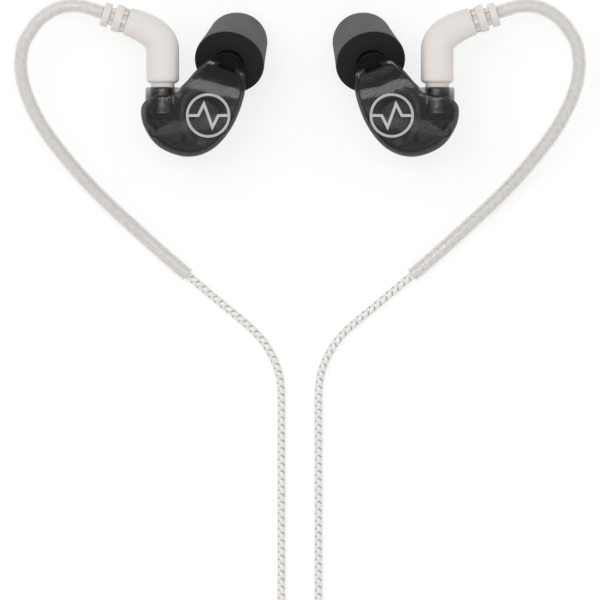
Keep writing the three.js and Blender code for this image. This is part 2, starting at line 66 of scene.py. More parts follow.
HOOK_ROUTE = (
    (0.03725, 0.02395, 0.0126), (0.04028, 0.02495, 0.01255), (0.04256, 0.02529, 0.01244),
    (0.04484, 0.02505, 0.01227), (0.0472, 0.0241, 0.01199), (0.0494, 0.02242, 0.01165),
    (0.05092, 0.02045, 0.01132), (0.0522, 0.0182, 0.01092), (0.05274, 0.0154, 0.01036),
    (0.05273, 0.01302, 0.00985), (0.0523, 0.0105, 0.00929), (0.05092, 0.0066, 0.00827),
    (0.04826, 0.0017, 0.00681), (0.04484, -0.00285, 0.00535), (0.04085, -0.00751, 0.00399),
    (0.03639, -0.01207, 0.00287), (0.03145, -0.01663, 0.00202), (0.02641, -0.02119, 0.00152),
    (0.0213, -0.0256, 0.00137),
)
LEAD_ROUTE = (
    (0.02128, -0.02562, 0.00137), (0.0194, -0.0272, 0.0013), (0.01777, -0.02855, 0.0012),
    (0.01444, -0.03135, 0.0011), (0.01093, -0.0342, 0.00105), (0.00789, -0.03705, 0.00105),
    (0.00589, -0.0398, 0.00105), (0.00447, -0.04275, 0.00105), (0.00374, -0.0456, 0.00105),
    (0.00352, -0.0487, 0.00105), (0.00352, -0.055, 0.00105), (0.00352, -0.065, 0.00105),
    (0.00352, -0.075, 0.00105), (0.00352, -0.085, 0.00105), (0.00352, -0.093, 0.00105),
    (0.00352, -0.1, 0.00102), (0.0029, -0.103, 0.00095), (0.0018, -0.1065, 0.0008),
)
TAIL_ROUTE = (
    (0, -0.167, 0.0068), (-0.0004, -0.1705, 0.0061), (-0.0017, -0.1745, 0.0053),
    (-0.0041, -0.1782, 0.0045), (-0.0076, -0.1811, 0.0038), (-0.0118, -0.1827, 0.0034),
    (-0.0172, -0.183, 0.0033),
)


# ---- settings ---------------------------------------------------------------


class CableSettings(bpy.types.PropertyGroup):
    """Sizes and colours of the cable."""

    lead_diameter: bpy.props.FloatProperty(
        name="Lead", description="Diameter of each earpiece's lead", default=0.0015, min=0.0008, unit="LENGTH")
    main_diameter: bpy.props.FloatProperty(
        name="Main lead", description="Diameter of the lead from the split to the plug",
        default=0.002, min=0.001, unit="LENGTH")
    sleeve_diameter: bpy.props.FloatProperty(
        name="Ear hook", description="Outer diameter of the clear ear hook sleeve",
        default=0.00266, min=0.002, unit="LENGTH")
    braid_repeat: bpy.props.FloatProperty(
        name="Braid repeat", description="Distance from one crossing of the strands to the next on a lead",
        default=0.00146, min=0.0005, unit="LENGTH")
    strand_colour: bpy.props.FloatVectorProperty(
        name="Strands", description="Colour of the silvered strands", subtype="COLOR",
        default=(0.72, 0.692, 0.665), min=0, max=1)
    # The gap colour is the deep end of the braid's painted shade.
    gap_colour: bpy.props.FloatVectorProperty(
        name="Gaps", description="Colour between the strands", subtype="COLOR",
        default=(0.27, 0.265, 0.26), min=0, max=1)
    boot_colour: bpy.props.FloatVectorProperty(
        name="Boots", description="Colour of the frosted boots, slider and split", subtype="COLOR",
        default=(0.695, 0.66, 0.63), min=0, max=1)


class EarpieceSettings(bpy.types.PropertyGroup):
    """Finishes of the earpieces."""

    smoke_colour: bpy.props.FloatVectorProperty(
        name="Smoke", description="Colour of the smoked shell", subtype="COLOR",
        default=(0.012, 0.012, 0.012), min=0, max=1)
    shell_density: bpy.props.FloatProperty(
        name="Shell density", description="How much light one wall of the shell stops",
        default=0.77, min=0, max=1, subtype="FACTOR")
    plate_density: bpy.props.FloatProperty(
        name="Plate density", description="How much light the face plate stops",
        default=0.47, min=0, max=1, subtype="FACTOR")
    mark_colour: bpy.props.FloatVectorProperty(
        name="Mark", description="Colour of the silver mark", subtype="COLOR",
        default=(0.36, 0.365, 0.37), min=0, max=1)
    foam_colour: bpy.props.FloatVectorProperty(
        name="Foam", description="Colour of the foam tips", subtype="COLOR",
        default=(0.1, 0.101, 0.103), min=0, max=1)


class StageSettings(bpy.types.PropertyGroup):
    """Floor, light and camera."""

    floor_colour: bpy.props.FloatVectorProperty(
        name="Floor", description="Colour of the floor", subtype="COLOR",
        default=(0.3, 0.302, 0.298), min=0, max=1)
    floor_glow: bpy.props.FloatProperty(
        name="Glow", description="Strength of the floor's own light, which keeps it white", default=0.7, min=0)
    sky_strength: bpy.props.FloatProperty(
        name="Sky", description="Strength of the even light from all sides", default=0.76, min=0)
    soft_power: bpy.props.FloatProperty(
        name="Softbox", description="Power of the large softbox", default=1.8, min=0, unit="POWER")
    strip_power: bpy.props.FloatProperty(
        name="Strip", description="Power of the strip that shines in the face plates", default=1.15, min=0,
        unit="POWER")
    view_width: bpy.props.FloatProperty(
        name="View width", description="Width of what the camera sees", default=0.114, min=0.02, unit="LENGTH")
    camera_height: bpy.props.FloatProperty(
        name="Camera height", description="Height of the camera over the floor",
        default=2, min=0.3, unit="LENGTH")


# ---- making shapes ----------------------------------------------------------


def clear_selection():
    """Leaves nothing selected."""
    for other in list(bpy.context.selected_objects):
        other.select_set(False)


def alone(piece):
    """Makes one object active, and the only selected one."""
    clear_selection()
    bpy.context.view_layer.objects.active = piece
    piece.select_set(True)


def linked(name, data):
    """A new object in the scene."""
    piece = bpy.data.objects.new(name, data)
    bpy.context.scene.collection.objects.link(piece)
    return piece


def named(name):
    """Gives the active object and its mesh a name, and leaves edit mode."""
    if bpy.context.mode != "OBJECT":
        bpy.ops.object.mode_set(mode="OBJECT")
    piece = bpy.context.view_layer.objects.active
    piece.name = name
    piece.data.name = name
    return piece


def closed(threshold=1e-6):
    """Merges doubled points of what is being edited and turns its faces outwards."""
    bpy.ops.mesh.select_all(action="SELECT")
    bpy.ops.mesh.remove_doubles(threshold=threshold)
    bpy.ops.mesh.normals_make_consistent(inside=False)


def smooth(piece, degrees=38):
    """Smooth shading, with edges sharper than an angle left sharp."""
    alone(piece)
    bpy.ops.object.shade_smooth_by_angle(angle=math.radians(degrees))
    return piece


def modified(piece, kind, **settings):
    """Adds a modifier and applies it."""
    alone(piece)
    modifier = piece.modifiers.new(kind.title(), kind)
    for key, value in settings.items():
        setattr(modifier, key, value)
    bpy.ops.object.modifier_apply(modifier=modifier.name)
    return piece


def edged(piece, width, segments=2, degrees=38):
    """Rounds every edge sharper than an angle."""
    return modified(piece, "BEVEL", width=width * MM, segments=segments, limit_method="ANGLE",
                    angle_limit=math.radians(degrees), harden_normals=False)


def combined(piece, other, operation):
    """Joins or cuts a body with another, which is used up."""
    modified(piece, "BOOLEAN", operation=operation, solver="EXACT", object=other)
    bpy.data.objects.remove(other)
    return piece


def placed(piece, matrix):
    """Moves a body's mesh by a matrix, so that its object stays at the origin."""
    alone(piece)
    piece.matrix_world = matrix
    bpy.ops.object.transform_apply(location=True, rotation=True, scale=True)
    return piece


def boxed(name, centre, size):
    """A box from its middle and its size, in metres."""
    clear_selection()
    bpy.ops.mesh.primitive_cube_add(size=1, location=centre)
    bpy.context.view_layer.objects.active.scale = size
    bpy.ops.object.transform_apply(location=True, rotation=True, scale=True)
    return named(name)


def turned(name, profile, steps=48, place=None):
    """A turned body: one vertex is extruded along a profile (radius, height) in mm, spun about Z and placed."""
    points = [Vector((r * MM, 0, h * MM)) for r, h in profile]
    clear_selection()
    bpy.ops.mesh.primitive_plane_add(size=MM, enter_editmode=True)
    bpy.ops.mesh.merge(type="CENTER")
    bpy.ops.transform.translate(value=points[0])
    for start, end in zip(points, points[1:]):
        bpy.ops.mesh.extrude_region_move(TRANSFORM_OT_translate={"value": end - start})
    bpy.ops.mesh.select_all(action="SELECT")
    bpy.ops.mesh.spin(steps=steps, angle=math.tau, center=(0, 0, 0), axis=(0, 0, 1))
    closed()
    piece = named(name)
    return piece if place is None else placed(piece, place)


def ringed(name, rings):
    """A closed body: a filled circle is laid on the first ring and extruded from ring to ring."""
    clear_selection()
    bpy.ops.mesh.primitive_circle_add(vertices=len(rings[0]), radius=1, fill_type="NGON", enter_editmode=True)
    mesh = bpy.context.view_layer.objects.active.data
    shape = bmesh.from_edit_mesh(mesh)
    shape.verts.ensure_lookup_table()
    for vertex, place in zip(shape.verts, rings[0]):
        vertex.co = place
    bmesh.update_edit_mesh(mesh)
    for before, after in zip(rings, rings[1:]):
        bpy.ops.mesh.extrude_region_move()
        shape = bmesh.from_edit_mesh(mesh)
        moves = {tuple(round(c, 7) for c in a): b for a, b in zip(before, after)}
        for vertex in shape.verts:
            if vertex.select:
                vertex.co = moves[tuple(round(c, 7) for c in vertex.co)]
        bmesh.update_edit_mesh(mesh)
    closed()
    return named(name)


def piped(name, points, radii, section=None, sides=24):
    """A solid swept along points (metres), with one radius or a radius at each, round or of a given section."""
    if not isinstance(radii, list):
        radii = [radii] * len(points)
    curve = bpy.data.curves.new(name, "CURVE")
    curve.dimensions = "3D"
    curve.bevel_depth = 1
    curve.bevel_resolution = max(0, sides // 4 - 1)
    curve.use_fill_caps = True
    spline = curve.splines.new("POLY")
    spline.points.add(len(points) - 1)
    for point, place, radius in zip(spline.points, points, radii):
        point.co = (*place, 1)
        point.radius = radius
    piece = linked(name, curve)
    guide = None
    if section is not None:
        outline = bpy.data.curves.new(name + "_section", "CURVE")
        ring = outline.splines.new("POLY")
        ring.points.add(len(section) - 1)
        for point, (x, y) in zip(ring.points, section):
            point.co = (x, y, 0, 1)
        ring.use_cyclic_u = True
        guide = linked(name + "_section", outline)
        curve.bevel_mode = "OBJECT"
        curve.bevel_object = guide
    alone(piece)
    bpy.ops.object.convert(target="MESH")
    if guide is not None:
        bpy.data.objects.remove(guide)
    bpy.ops.object.mode_set(mode="EDIT")
    closed()
    return named(name)


def spline_points(points, steps):
    """Points on a smooth curve through given ones, which keeps its ends."""
    points = [np.array(p, float) for p in points]
    padded = [2 * points[0] - points[1], *points, 2 * points[-1] - points[-2]]
    found = []
    for p0, p1, p2, p3 in zip(padded, padded[1:], padded[2:], padded[3:]):
        for step in range(steps):
            t = step / steps
            found.append(0.5 * (2 * p1 + (p2 - p0) * t + (2 * p0 - 5 * p1 + 4 * p2 - p3) * t * t
                                + (3 * p1 - p0 - 3 * p2 + p3) * t ** 3))
    found.append(points[-1])
    return np.array(found)


def spaced(points, gap):
    """The same line with points a given gap apart."""
    points = np.asarray(points, float)
    lengths = np.concatenate([[0], np.cumsum(np.linalg.norm(np.diff(points, axis=0), axis=1))])
    count = max(2, int(round(lengths[-1] / gap)) + 1)
    at = np.linspace(0, lengths[-1], count)
    return np.stack([np.interp(at, lengths, points[:, k]) for k in range(points.shape[1])], axis=1), at


def joined(name, parts):
    """Several bodies as one piece."""
    alone(parts[0])
    for part in parts[1:]:
        part.select_set(True)
    bpy.ops.object.join()
    return named(name)


def flagged(piece, name, chosen):
    """Marks the points of a mesh that are chosen by their place, for a finish to read."""
    flags = piece.data.attributes.new(name, "FLOAT", "POINT")
    for flag, vertex in zip(flags.data, piece.data.vertices):
        flag.value = 1.0 if chosen(vertex.co) else 0.0


def pressed(piece, chosen, *insets):
    """Sinks the faces that are chosen by their middle (mm); each inset is a border and a depth in mm."""
    alone(piece)
    bpy.ops.object.mode_set(mode="EDIT")
    bpy.ops.mesh.select_mode(type="FACE")
    bpy.ops.mesh.select_all(action="DESELECT")
    shape = bmesh.from_edit_mesh(piece.data)
    for face in shape.faces:
        face.select_set(chosen(face.calc_center_median() / MM))
    bmesh.update_edit_mesh(piece.data)
    for border, depth in insets:
        bpy.ops.mesh.inset(thickness=border * MM, depth=depth * MM)
    bpy.ops.mesh.select_mode(type="VERT")
    closed()
    return smooth(named(piece.name), 34)


def finished(piece, body, slot, nodes=(), look=None):
    """Gives a piece its finish, its moving body and the CAD nodes that it stands for."""
    piece.data.materials.clear()
    piece.data.materials.append(FINISHES[look or slot])
    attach(piece, body)
    if nodes:
        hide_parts(*nodes)
    return piece


def both(name, source, body, slot, nodes=(), look=None):
    """Makes the left piece and its mirror image, the right one, of a body modelled in an earpiece's own frame.
    The cable is one moving body, and each side has its own of the others."""
    made = []
    for side, sign in SIDES:
        mesh = source.data.copy()
        piece = linked(f"{side}_{name}", mesh)
        mesh.name = piece.name
        place = Matrix.Translation((sign * SOCKET.x, SOCKET.y, SOCKET.z)) @ Matrix.Diagonal((-sign, 1, 1, 1))
        mesh.transform(place)
        if sign > 0:
            mesh.flip_normals()
        mover = body if body == "cable" else f"{side}_{body}"
        made.append(finished(piece, mover, slot, [f"{side}_{n}" for n in nodes], look))
    bpy.data.objects.remove(source)
    return made


# ---- finishes ---------------------------------------------------------------


def shaded(colour, share):
    """A colour made darker or lighter."""
    return tuple(min(1, c * share) for c in colour)


class Value:
    """A number socket that takes part in Python sums; each operation adds a Math node."""

    def __init__(self, finish, socket):
        self.finish = finish
        self.socket = socket

    def math(self, operation, *others):
        return self.finish.node("ShaderNodeMath", {"operation": operation}, dict(enumerate((self, *others))))

    def __add__(self, other):
        return self.math("ADD", other)

    def __sub__(self, other):
        return self.math("SUBTRACT", other)

    def __mul__(self, other):
        return self.math("MULTIPLY", other)

    def __rsub__(self, other):
        return self.finish.node("ShaderNodeMath", {"operation": "SUBTRACT"}, {0: other, 1: self})

    __radd__ = __add__
    __rmul__ = __mul__


class Finish:
    """A material being made: its shader and a method that adds any other node."""

    def __init__(self, name, **constants):
        self.material = bpy.data.materials.new(name)
        self.material.use_nodes = True
        self.tree = self.material.node_tree
        self.tree.nodes.clear()
        self.shader = self.tree.nodes.new("ShaderNodeBsdfPrincipled")
        output = self.tree.nodes.new("ShaderNodeOutputMaterial")
        self.tree.links.new(self.shader.outputs["BSDF"], output.inputs["Surface"])
        self.feed(self.shader, {
            key.replace("_", " ").title().replace("Ior", "IOR"): value for key, value in constants.items()})

    def feed(self, node, sockets):
        for key, value in sockets.items():
            if isinstance(value, Value):
                self.tree.links.new(value.socket, node.inputs[key])
            elif isinstance(key, str) and hasattr(value, "__len__") and len(value) == 3 and "Color" in key:
                node.inputs[key].default_value = (*value, 1)
            else:
                node.inputs[key].default_value = value

    def node(self, kind, settings=None, sockets=None, output=0):
        """Adds a node, applies its settings, feeds its sockets and gives one of its outputs."""
        node = self.tree.nodes.new(kind)
        for key, value in (settings or {}).items():
            if key == "stops":
                ramp = node.color_ramp
                while len(ramp.elements) < len(value):
                    ramp.elements.new(1)
                for element, (position, colour) in zip(ramp.elements, value):
                    element.position = position
                    element.color = (*colour, 1)
            else:
                setattr(node, key, value)
        self.feed(node, sockets or {})
        return Value(self, node.outputs[output])

    def place(self):
        return self.node("ShaderNodeTexCoord", output="Object")

    def noise(self, scale, detail=2):
        return self.node("ShaderNodeTexNoise", {}, {"Vector": self.place(), "Scale": scale, "Detail": detail})

    def flag(self, name):
        return self.node("ShaderNodeAttribute", {"attribute_name": name}, output="Fac")

    def ramp(self, factor, *stops):
        return self.node("ShaderNodeValToRGB", {"stops": stops}, {"Fac": factor})

    def blend(self, factor, first, second):
        """A colour between two others."""
        colours = [(*c, 1) if not isinstance(c, Value) else c for c in (first, second)]
        sockets = {0: factor, 6: colours[0], 7: colours[1]}
        return self.node("ShaderNodeMix", {"data_type": "RGBA"}, sockets, output=2)

    def relief(self, height, distance, strength=1):
        """Feeds the shader's normal with a bump."""
        normal = self.node("ShaderNodeBump", {}, {"Height": height, "Distance": distance, "Strength": strength})
        self.feed(self.shader, {"Normal": normal})

    def varied(self, colour, spread, scale, roughness, rough_spread):
        """A colour and roughness that drift a little over the surface."""
        drift = self.noise(scale, 3)
        self.feed(self.shader, {
            "Base Color": self.blend(drift, shaded(colour, 1 - spread), shaded(colour, 1 + spread)),
            "Roughness": roughness - rough_spread / 2 + rough_spread * drift,
        })
        return self


def smoked(name, colour, density):
    """See-through smoked plastic with a moulded gloss, clearer where its wall is flagged as thin."""
    finish = Finish(name, ior=1.38)
    drift = finish.noise(260, 2)
    finish.feed(finish.shader, {
        "Base Color": finish.blend(drift, shaded(colour, 0.85), shaded(colour, 1.2)),
        "Roughness": 0.05 + 0.05 * finish.noise(900, 2),
        "Alpha": density - 0.03 + 0.06 * drift - 0.38 * finish.flag("thin"),
    })
    finish.relief(finish.noise(120, 1), 0.00006)
    return finish.material


def braid(name, strand, gap):
    """Two pairs of silvered strands that cross round a cord. Its UV map runs along it in repeats, and round it."""
    finish = Finish(name, metallic=0.0, ior=1.48, coat_weight=0.7, coat_roughness=0.12)
    uv = finish.node("ShaderNodeUVMap", {"uv_map": "braid"})
    split = finish.tree.nodes.new("ShaderNodeSeparateXYZ")
    finish.feed(split, {"Vector": uv})
    along, around = Value(finish, split.outputs["X"]), Value(finish, split.outputs["Y"]) - BRAID_TURN
    over = (around * (4 * math.pi)).math("COSINE") * 0.35
    heights, threads = [], []
    for way in (1, -1):
        phase = around * 2 + along * way
        heights.append((phase * math.pi).math("COSINE").math("ABSOLUTE") + over * way)
        threads.append((phase * (14 * math.pi)).math("SINE"))
    top = heights[0].math("MAXIMUM", heights[1])
    first = heights[0].math("GREATER_THAN", heights[1])
    thread = threads[0] * first + threads[1] * (1 - first)
    # The colour follows the strands' height: a painted shade darkens each strand towards the gaps where it dips
    # under the others, and a painted highlight lightens its crown.
    shade = (top - 0.42) * 1.45
    drift = finish.noise(700, 2)
    tone = finish.ramp(shade + thread * 0.035 + (drift - 0.5) * 0.16,
                       (0, gap), (0.28, tuple(0.66 * s + 0.34 * g for s, g in zip(strand, gap))), (0.6, strand),
                       (1, shaded(strand, 1.1)))
    finish.feed(finish.shader, {"Base Color": tone, "Roughness": 0.5 - 0.2 * shade.math("MINIMUM", 1.0)})
    finish.relief(top + thread * 0.05, 0.00012, 0.7)
    return finish.material


def frosted(name, colour):
    """Soft frosted plastic, a little see-through at its surface."""
    finish = Finish(name, ior=1.45, subsurface_weight=0.15, subsurface_scale=0.0012, coat_weight=0.08,
                    coat_roughness=0.4)
    finish.varied(colour, 0.035, 420, 0.5, 0.1)
    finish.relief(finish.noise(5200, 2), 0.00003, 0.5)
    return finish.material


def clear_sleeve(name):
    """Clear soft tubing, slightly milky."""
    finish = Finish(name, ior=1.45, coat_weight=0.5, coat_roughness=0.08)
    drift = finish.noise(500, 2)
    finish.feed(finish.shader, {
        "Base Color": finish.blend(drift, (0.78, 0.755, 0.73), (0.86, 0.84, 0.815)),
        "Roughness": 0.16 + 0.08 * drift,
        "Alpha": 0.38 + 0.08 * drift,
    })
    return finish.material


def foam(name, colour):
    """Slow-recovery foam: matt, with fine open pores, and a painted shade that makes its flat back much darker."""
    finish = Finish(name, ior=1.25, sheen_weight=0.06, sheen_roughness=0.6)
    pores = finish.node("ShaderNodeTexVoronoi", {"feature": "F1"}, {"Vector": finish.place(), "Scale": 5200})
    drift = finish.noise(350, 3)
    skin = finish.blend(pores * 0.8 + drift * 0.35, shaded(colour, 0.62), shaded(colour, 1.25))
    finish.feed(finish.shader, {
        # The flagged flat back gets a painted shade: a much darker copy of the colour.
        "Base Color": finish.blend(finish.flag("cut"), skin, shaded(colour, 0.12)),
        "Roughness": 0.86 + 0.1 * drift,
    })
    finish.relief(pores + drift * 0.6, 0.00004, 0.8)
    return finish.material


def metal(name, colour, roughness, brushed=2600):
    """Turned or drawn metal with faint marks."""
    finish = Finish(name, metallic=1.0)
    finish.varied(colour, 0.07, 480, roughness, 0.12)
    finish.relief(finish.noise(brushed, 3), 0.00002, 0.4)
    return finish.material


def moulded(name, colour, roughness, grain=3200, depth=0.00002, **constants):
    """Plain moulded plastic or rubber with a fine grain."""
    finish = Finish(name, **{"ior": 1.4, **constants})
    finish.varied(colour, 0.12, 380, roughness, 0.1)
    finish.relief(finish.noise(grain, 2), depth, 0.6)
    return finish.material


def board_finish(name):
    """Solder-masked board with copper tracks under the mask."""
    finish = Finish(name, ior=1.5, coat_weight=0.4, coat_roughness=0.15)
    place = finish.place()
    tracks = finish.node("ShaderNodeTexBrick", {}, {
        "Vector": place, "Scale": 900, "Mortar Size": 0.03, "Color1": (0, 0, 0), "Color2": (0, 0, 0),
        "Mortar": (1, 1, 1, 1)}, output="Fac")
    finish.feed(finish.shader, {
        "Base Color": finish.blend(tracks, (0.012, 0.018, 0.014), (0.05, 0.05, 0.035)),
        "Roughness": 0.35 + 0.2 * finish.noise(1500, 2),
    })
    finish.relief(tracks, 0.00003, 0.5)
    return finish.material


FINISHES = {}


def make_finishes(cable, earpiece):
    """Every finish, under its slot's name."""
    smoke, strand = tuple(earpiece.smoke_colour), tuple(cable.strand_colour)
    FINISHES.update({
        "smoked_shell": smoked("smoked_shell", smoke, earpiece.shell_density),
        "smoked_plate": smoked("smoked_plate", smoke, earpiece.plate_density),
        "silver_mark": moulded("silver_mark", tuple(earpiece.mark_colour), 0.42, metallic=0.35),
        "steel": metal("steel", (0.56, 0.565, 0.57), 0.28),
        "dark_steel": metal("dark_steel", (0.13, 0.13, 0.135), 0.4),
        "driver_film": moulded("driver_film", (0.58, 0.47, 0.28), 0.3),
        "clear_tube": moulded("clear_tube", (0.32, 0.31, 0.3), 0.22, coat_weight=0.6),
        "circuit_board": board_finish("circuit_board"),
        "red_wire": moulded("red_wire", (0.2, 0.022, 0.018), 0.4),
        "dark_wire": moulded("dark_wire", (0.012, 0.012, 0.014), 0.4),
        "insulator": moulded("insulator", (0.012, 0.012, 0.012), 0.45),
        # Near black: a painted shade for the shadowed inside of the neck, used on the nozzle and the damper.
        "black_nozzle": moulded("black_nozzle", (0.006, 0.006, 0.006), 0.55, ior=1.25),
        "core_rubber": moulded("core_rubber", (0.005, 0.005, 0.005), 0.8, ior=1.18),
        "foam": foam("foam", tuple(earpiece.foam_colour)),
        "gold_contact": metal("gold_contact", (0.83, 0.6, 0.26), 0.22),
        "frosted_boot": frosted("frosted_boot", tuple(cable.boot_colour)),
        "clear_jacket": clear_sleeve("clear_jacket"),
        "braided_lead": braid("braided_lead", strand, tuple(cable.gap_colour)),
        # The hook's gaps take a darker copy of the strand colour, the deep end of the braid's painted shade.
        "hook_braid": braid("hook_braid", strand, shaded(strand, 0.6)),
        "jack_housing": moulded("jack_housing", (0.018, 0.018, 0.019), 0.38, coat_weight=0.2),
    })


# ---- cords ------------------------------------------------------------------


def frames_along(points):
    """Two directions square to a line at each point, carried along it without twisting."""
    ahead = np.gradient(points, axis=0)
    ahead /= np.linalg.norm(ahead, axis=1)[:, None]
    up = np.array((0.0, 0.0, 1.0))
    sideways = []
    for direction in ahead:
        up = up - direction * up.dot(direction)
        up = up / np.linalg.norm(up)
        sideways.append(up.copy())
    sideways = np.array(sideways)
    return sideways, np.cross(ahead, sideways)


def strands(name, route, radius, repeat, sides=16, rings=8, depth=0.06):
    """A cord of crossing strands: a tube with the strands raised on it and a UV map that follows them."""
    points, along = spaced(route, repeat / rings)
    up, across = frames_along(points)
    u = along / repeat
    corners = np.arange(sides) / sides
    turn = corners[None, :] - BRAID_TURN
    a, b = 2 * turn + u[:, None], 2 * turn - u[:, None]
    over = 0.35 * np.cos(4 * math.pi * turn)
    height = np.maximum(np.abs(np.cos(math.pi * a)) + over, np.abs(np.cos(math.pi * b)) - over)
    size = radius * (1 - depth * np.clip(1.15 - height, 0, 1))
    angle = 2 * math.pi * corners[None, :, None]
    ring = np.cos(angle) * up[:, None, :] + np.sin(angle) * across[:, None, :]
    places = (points[:, None, :] + size[:, :, None] * ring).reshape(-1, 3)
    count = len(points)
    start = np.arange(count - 1)[:, None] * sides
    step = np.arange(sides)[None, :]
    following = (step + 1) % sides
    around = (start + step, start + following, start + sides + following, start + sides + step)
    faces = [list(map(int, face)) for face in np.stack(around, axis=-1).reshape(-1, 4)]
    caps = [list(range(sides - 1, -1, -1)), list(range((count - 1) * sides, count * sides))]
    mesh = bpy.data.meshes.new(name)
    mesh.from_pydata([tuple(p) for p in places], [], faces + caps)
    layer = mesh.uv_layers.new(name="braid")
    first = np.repeat(u[:-1], sides)
    second = np.repeat(u[1:], sides)
    low = np.tile(corners, count - 1)
    high = low + 1 / sides
    quads = np.stack([first, low, first, high, second, high, second, low], axis=-1).reshape(-1)
    cap_places = np.zeros(4 * sides)
    layer.data.foreach_set("uv", np.concatenate([quads, cap_places]))
    mesh.update()
    piece = linked(name, mesh)
    alone(piece)
    bpy.ops.object.mode_set(mode="EDIT")
    bpy.ops.mesh.select_all(action="SELECT")
    bpy.ops.mesh.normals_make_consistent(inside=False)
    bpy.ops.object.mode_set(mode="OBJECT")
    return smooth(piece, 70)


def eased(t):
    """A share of the way that starts and ends softly."""
    return t * t * (3 - 2 * t)


def wound(centre, side, way, slots, windows, per_turn=36):
    """A coil's centreline. It starts at one side of its centre and runs round it, one slot (radius, height) for
    each turn, and moves to the next slot inside that change's window, a share of the turn from begin to end."""
    points = []
    for turn in range(len(slots) - 1):
        (r0, z0), (r1, z1) = slots[turn], slots[turn + 1]
        begin, end = windows[turn]
        for step in range(per_turn):
            share = step / per_turn
            t = eased(min(1, max(0, (share - begin) / (end - begin))))
            angle = side + way * math.tau * share
            radius, height = (r0 + (r1 - r0) * t) * MM, (z0 + (z1 - z0) * t) * MM
            points.append((centre[0] + radius * math.cos(angle), centre[1] + radius * math.sin(angle), height))
    return points


LEAD_COIL = (-0.010, -0.115)
MAIN_COIL = (0.0135, -0.158)


def lead_path(sign):
    """A lead from the ear hook's end, through the slider, three times round the coil and into the split."""
    free = [(sign * x, y, z) for x, y, z in LEAD_ROUTE]
    outer, inner = (10.75, 7.75) if sign > 0 else (9.25, 6.25)
    slots = [(outer, 0.75), (inner, 0.75), (inner, 2.25), (outer, 2.25)]
    turns = wound(LEAD_COIL, 0, -1, slots, [(0.66, 0.98), (0.42, 0.6), (0.03, 0.34)])
    middle = LEAD_COIL[0] + outer * MM
    into = [(middle, -0.1152, 0.00225), (middle * 1.02, -0.1178, 0.0021), (sign * 0.00078, -0.1215, 0.0017),
            (sign * 0.00078, -0.1255, 0.0015), (sign * 0.00078, -0.129, 0.0015)]
    return spline_points(free + turns[1:] + into, 4)


def main_path():
    """The main lead from the split, eleven times round its coil and on to the plug."""
    radii, heights = (13.5, 11.5, 9.5), (1, 3, 5, 7)
    slots = []
    for level, height in enumerate(heights):
        order = radii if level % 2 == 0 else radii[::-1]
        slots += [(r, height) for r in order]
    shift_1, shift_2, shift_3, shift_4 = (0.86, 1.0), (0.50, 0.66), (0.24, 0.40), (0.0, 0.16)
    rise_1, rise_2, rise_3 = (0.74, 0.84), (0.42, 0.50), (0.16, 0.24)
    windows = [shift_1, shift_1, rise_1, shift_2, shift_2, rise_2, shift_3, shift_3, rise_3, shift_4, shift_4]
    entry = [(0, -0.134, 0.0012), (0, -0.1375, 0.001), (0, -0.143, 0.001), (0, -0.149, 0.001)]
    turns = wound(MAIN_COIL, math.pi, 1, slots, windows)
    start = MAIN_COIL[0] - 0.0135
    leave = [(start, -0.158, 0.007), (start, -0.1625, 0.007)]
    return spline_points(entry + turns + leave + list(TAIL_ROUTE), 4)


# ---- the shell's shape, in mm in an earpiece's own frame --------------------
# Origin at the socket's mouth, +Y out of the socket, +X towards the other earpiece, +Z out of the face plate.
# BOWL_REACH is about the distance from the bowl's centre to its wall, and turns a wall into a share of the outline.

BOWL_CENTRE = np.array((6.3, -4.6))
BOWL_REACH = 8
SHELL_WALL = 0.9
RIM_Z = 2.85
BELLY_DEPTH = 8.1
PLATE_INSET = 0.6
PLATE_BACK = 3.0
CROWN_EDGE = 0.968
NOZZLE_TILT = math.radians(32)
NOZZLE_TURN = math.radians(20)
NOZZLE_LEAN = math.sin(NOZZLE_TILT)
NOZZLE_DIR = Vector((NOZZLE_LEAN * math.sin(NOZZLE_TURN), NOZZLE_LEAN * math.cos(NOZZLE_TURN),
                     -math.cos(NOZZLE_TILT)))


def aimed(place, direction):
    """The matrix that puts a body's origin at a place in mm and its Z along a direction."""
    return Matrix.Translation(Vector(place) * MM) @ direction.to_track_quat("Z", "Y").to_matrix().to_4x4()


NOZZLE_PLACE = aimed((11.8, 2.7, 2.85), NOZZLE_DIR)
MARK_CENTRE = (8.6, -5.4)


def shell_outline(count=132):
    """The outline of the shell, evenly spaced, with the corner beside the boss kept."""
    neck = spline_points([(8.8, 5.3), (6.2, 3.05), (4.1, 0.7), (1.4, -1.25), (-2.6, -1.8)], 12)
    belly = spline_points([(-2.6, -1.8), (-4.1, -3.9), (-3.5, -7.6), (-0.6, -11.4), (4.66, -13.2), (9.5, -11.7),
                           (13.2, -7.4), (15.4, -1.6), (15.5, 2.75)], 12)
    around = np.concatenate([neck, belly[1:], [(8.8, 5.3)]])
    points, _ = spaced(around, 0.05)
    for _ in range(60):
        points = 0.5 * points + 0.25 * (np.roll(points, 1, axis=0) + np.roll(points, -1, axis=0))
    even, _ = spaced(np.concatenate([points, points[:1]]), 0.01)
    return even[np.linspace(0, len(even) - 1, count, endpoint=False).astype(int)]


def along_neck(x, y):
    """How far a point lies along the way that the neck points."""
    return x * math.sin(NOZZLE_TURN) + y * math.cos(NOZZLE_TURN)


def shell_depth(x, y):
    """Depth of the shell under a point: shallow at the neck, full at the belly, with a soft change between."""
    slope = 0.9 + 0.66 * (8 - along_neck(x, y))
    return -math.log(math.exp(-slope * 1.2) + math.exp(-BELLY_DEPTH * 1.2)) / 1.2


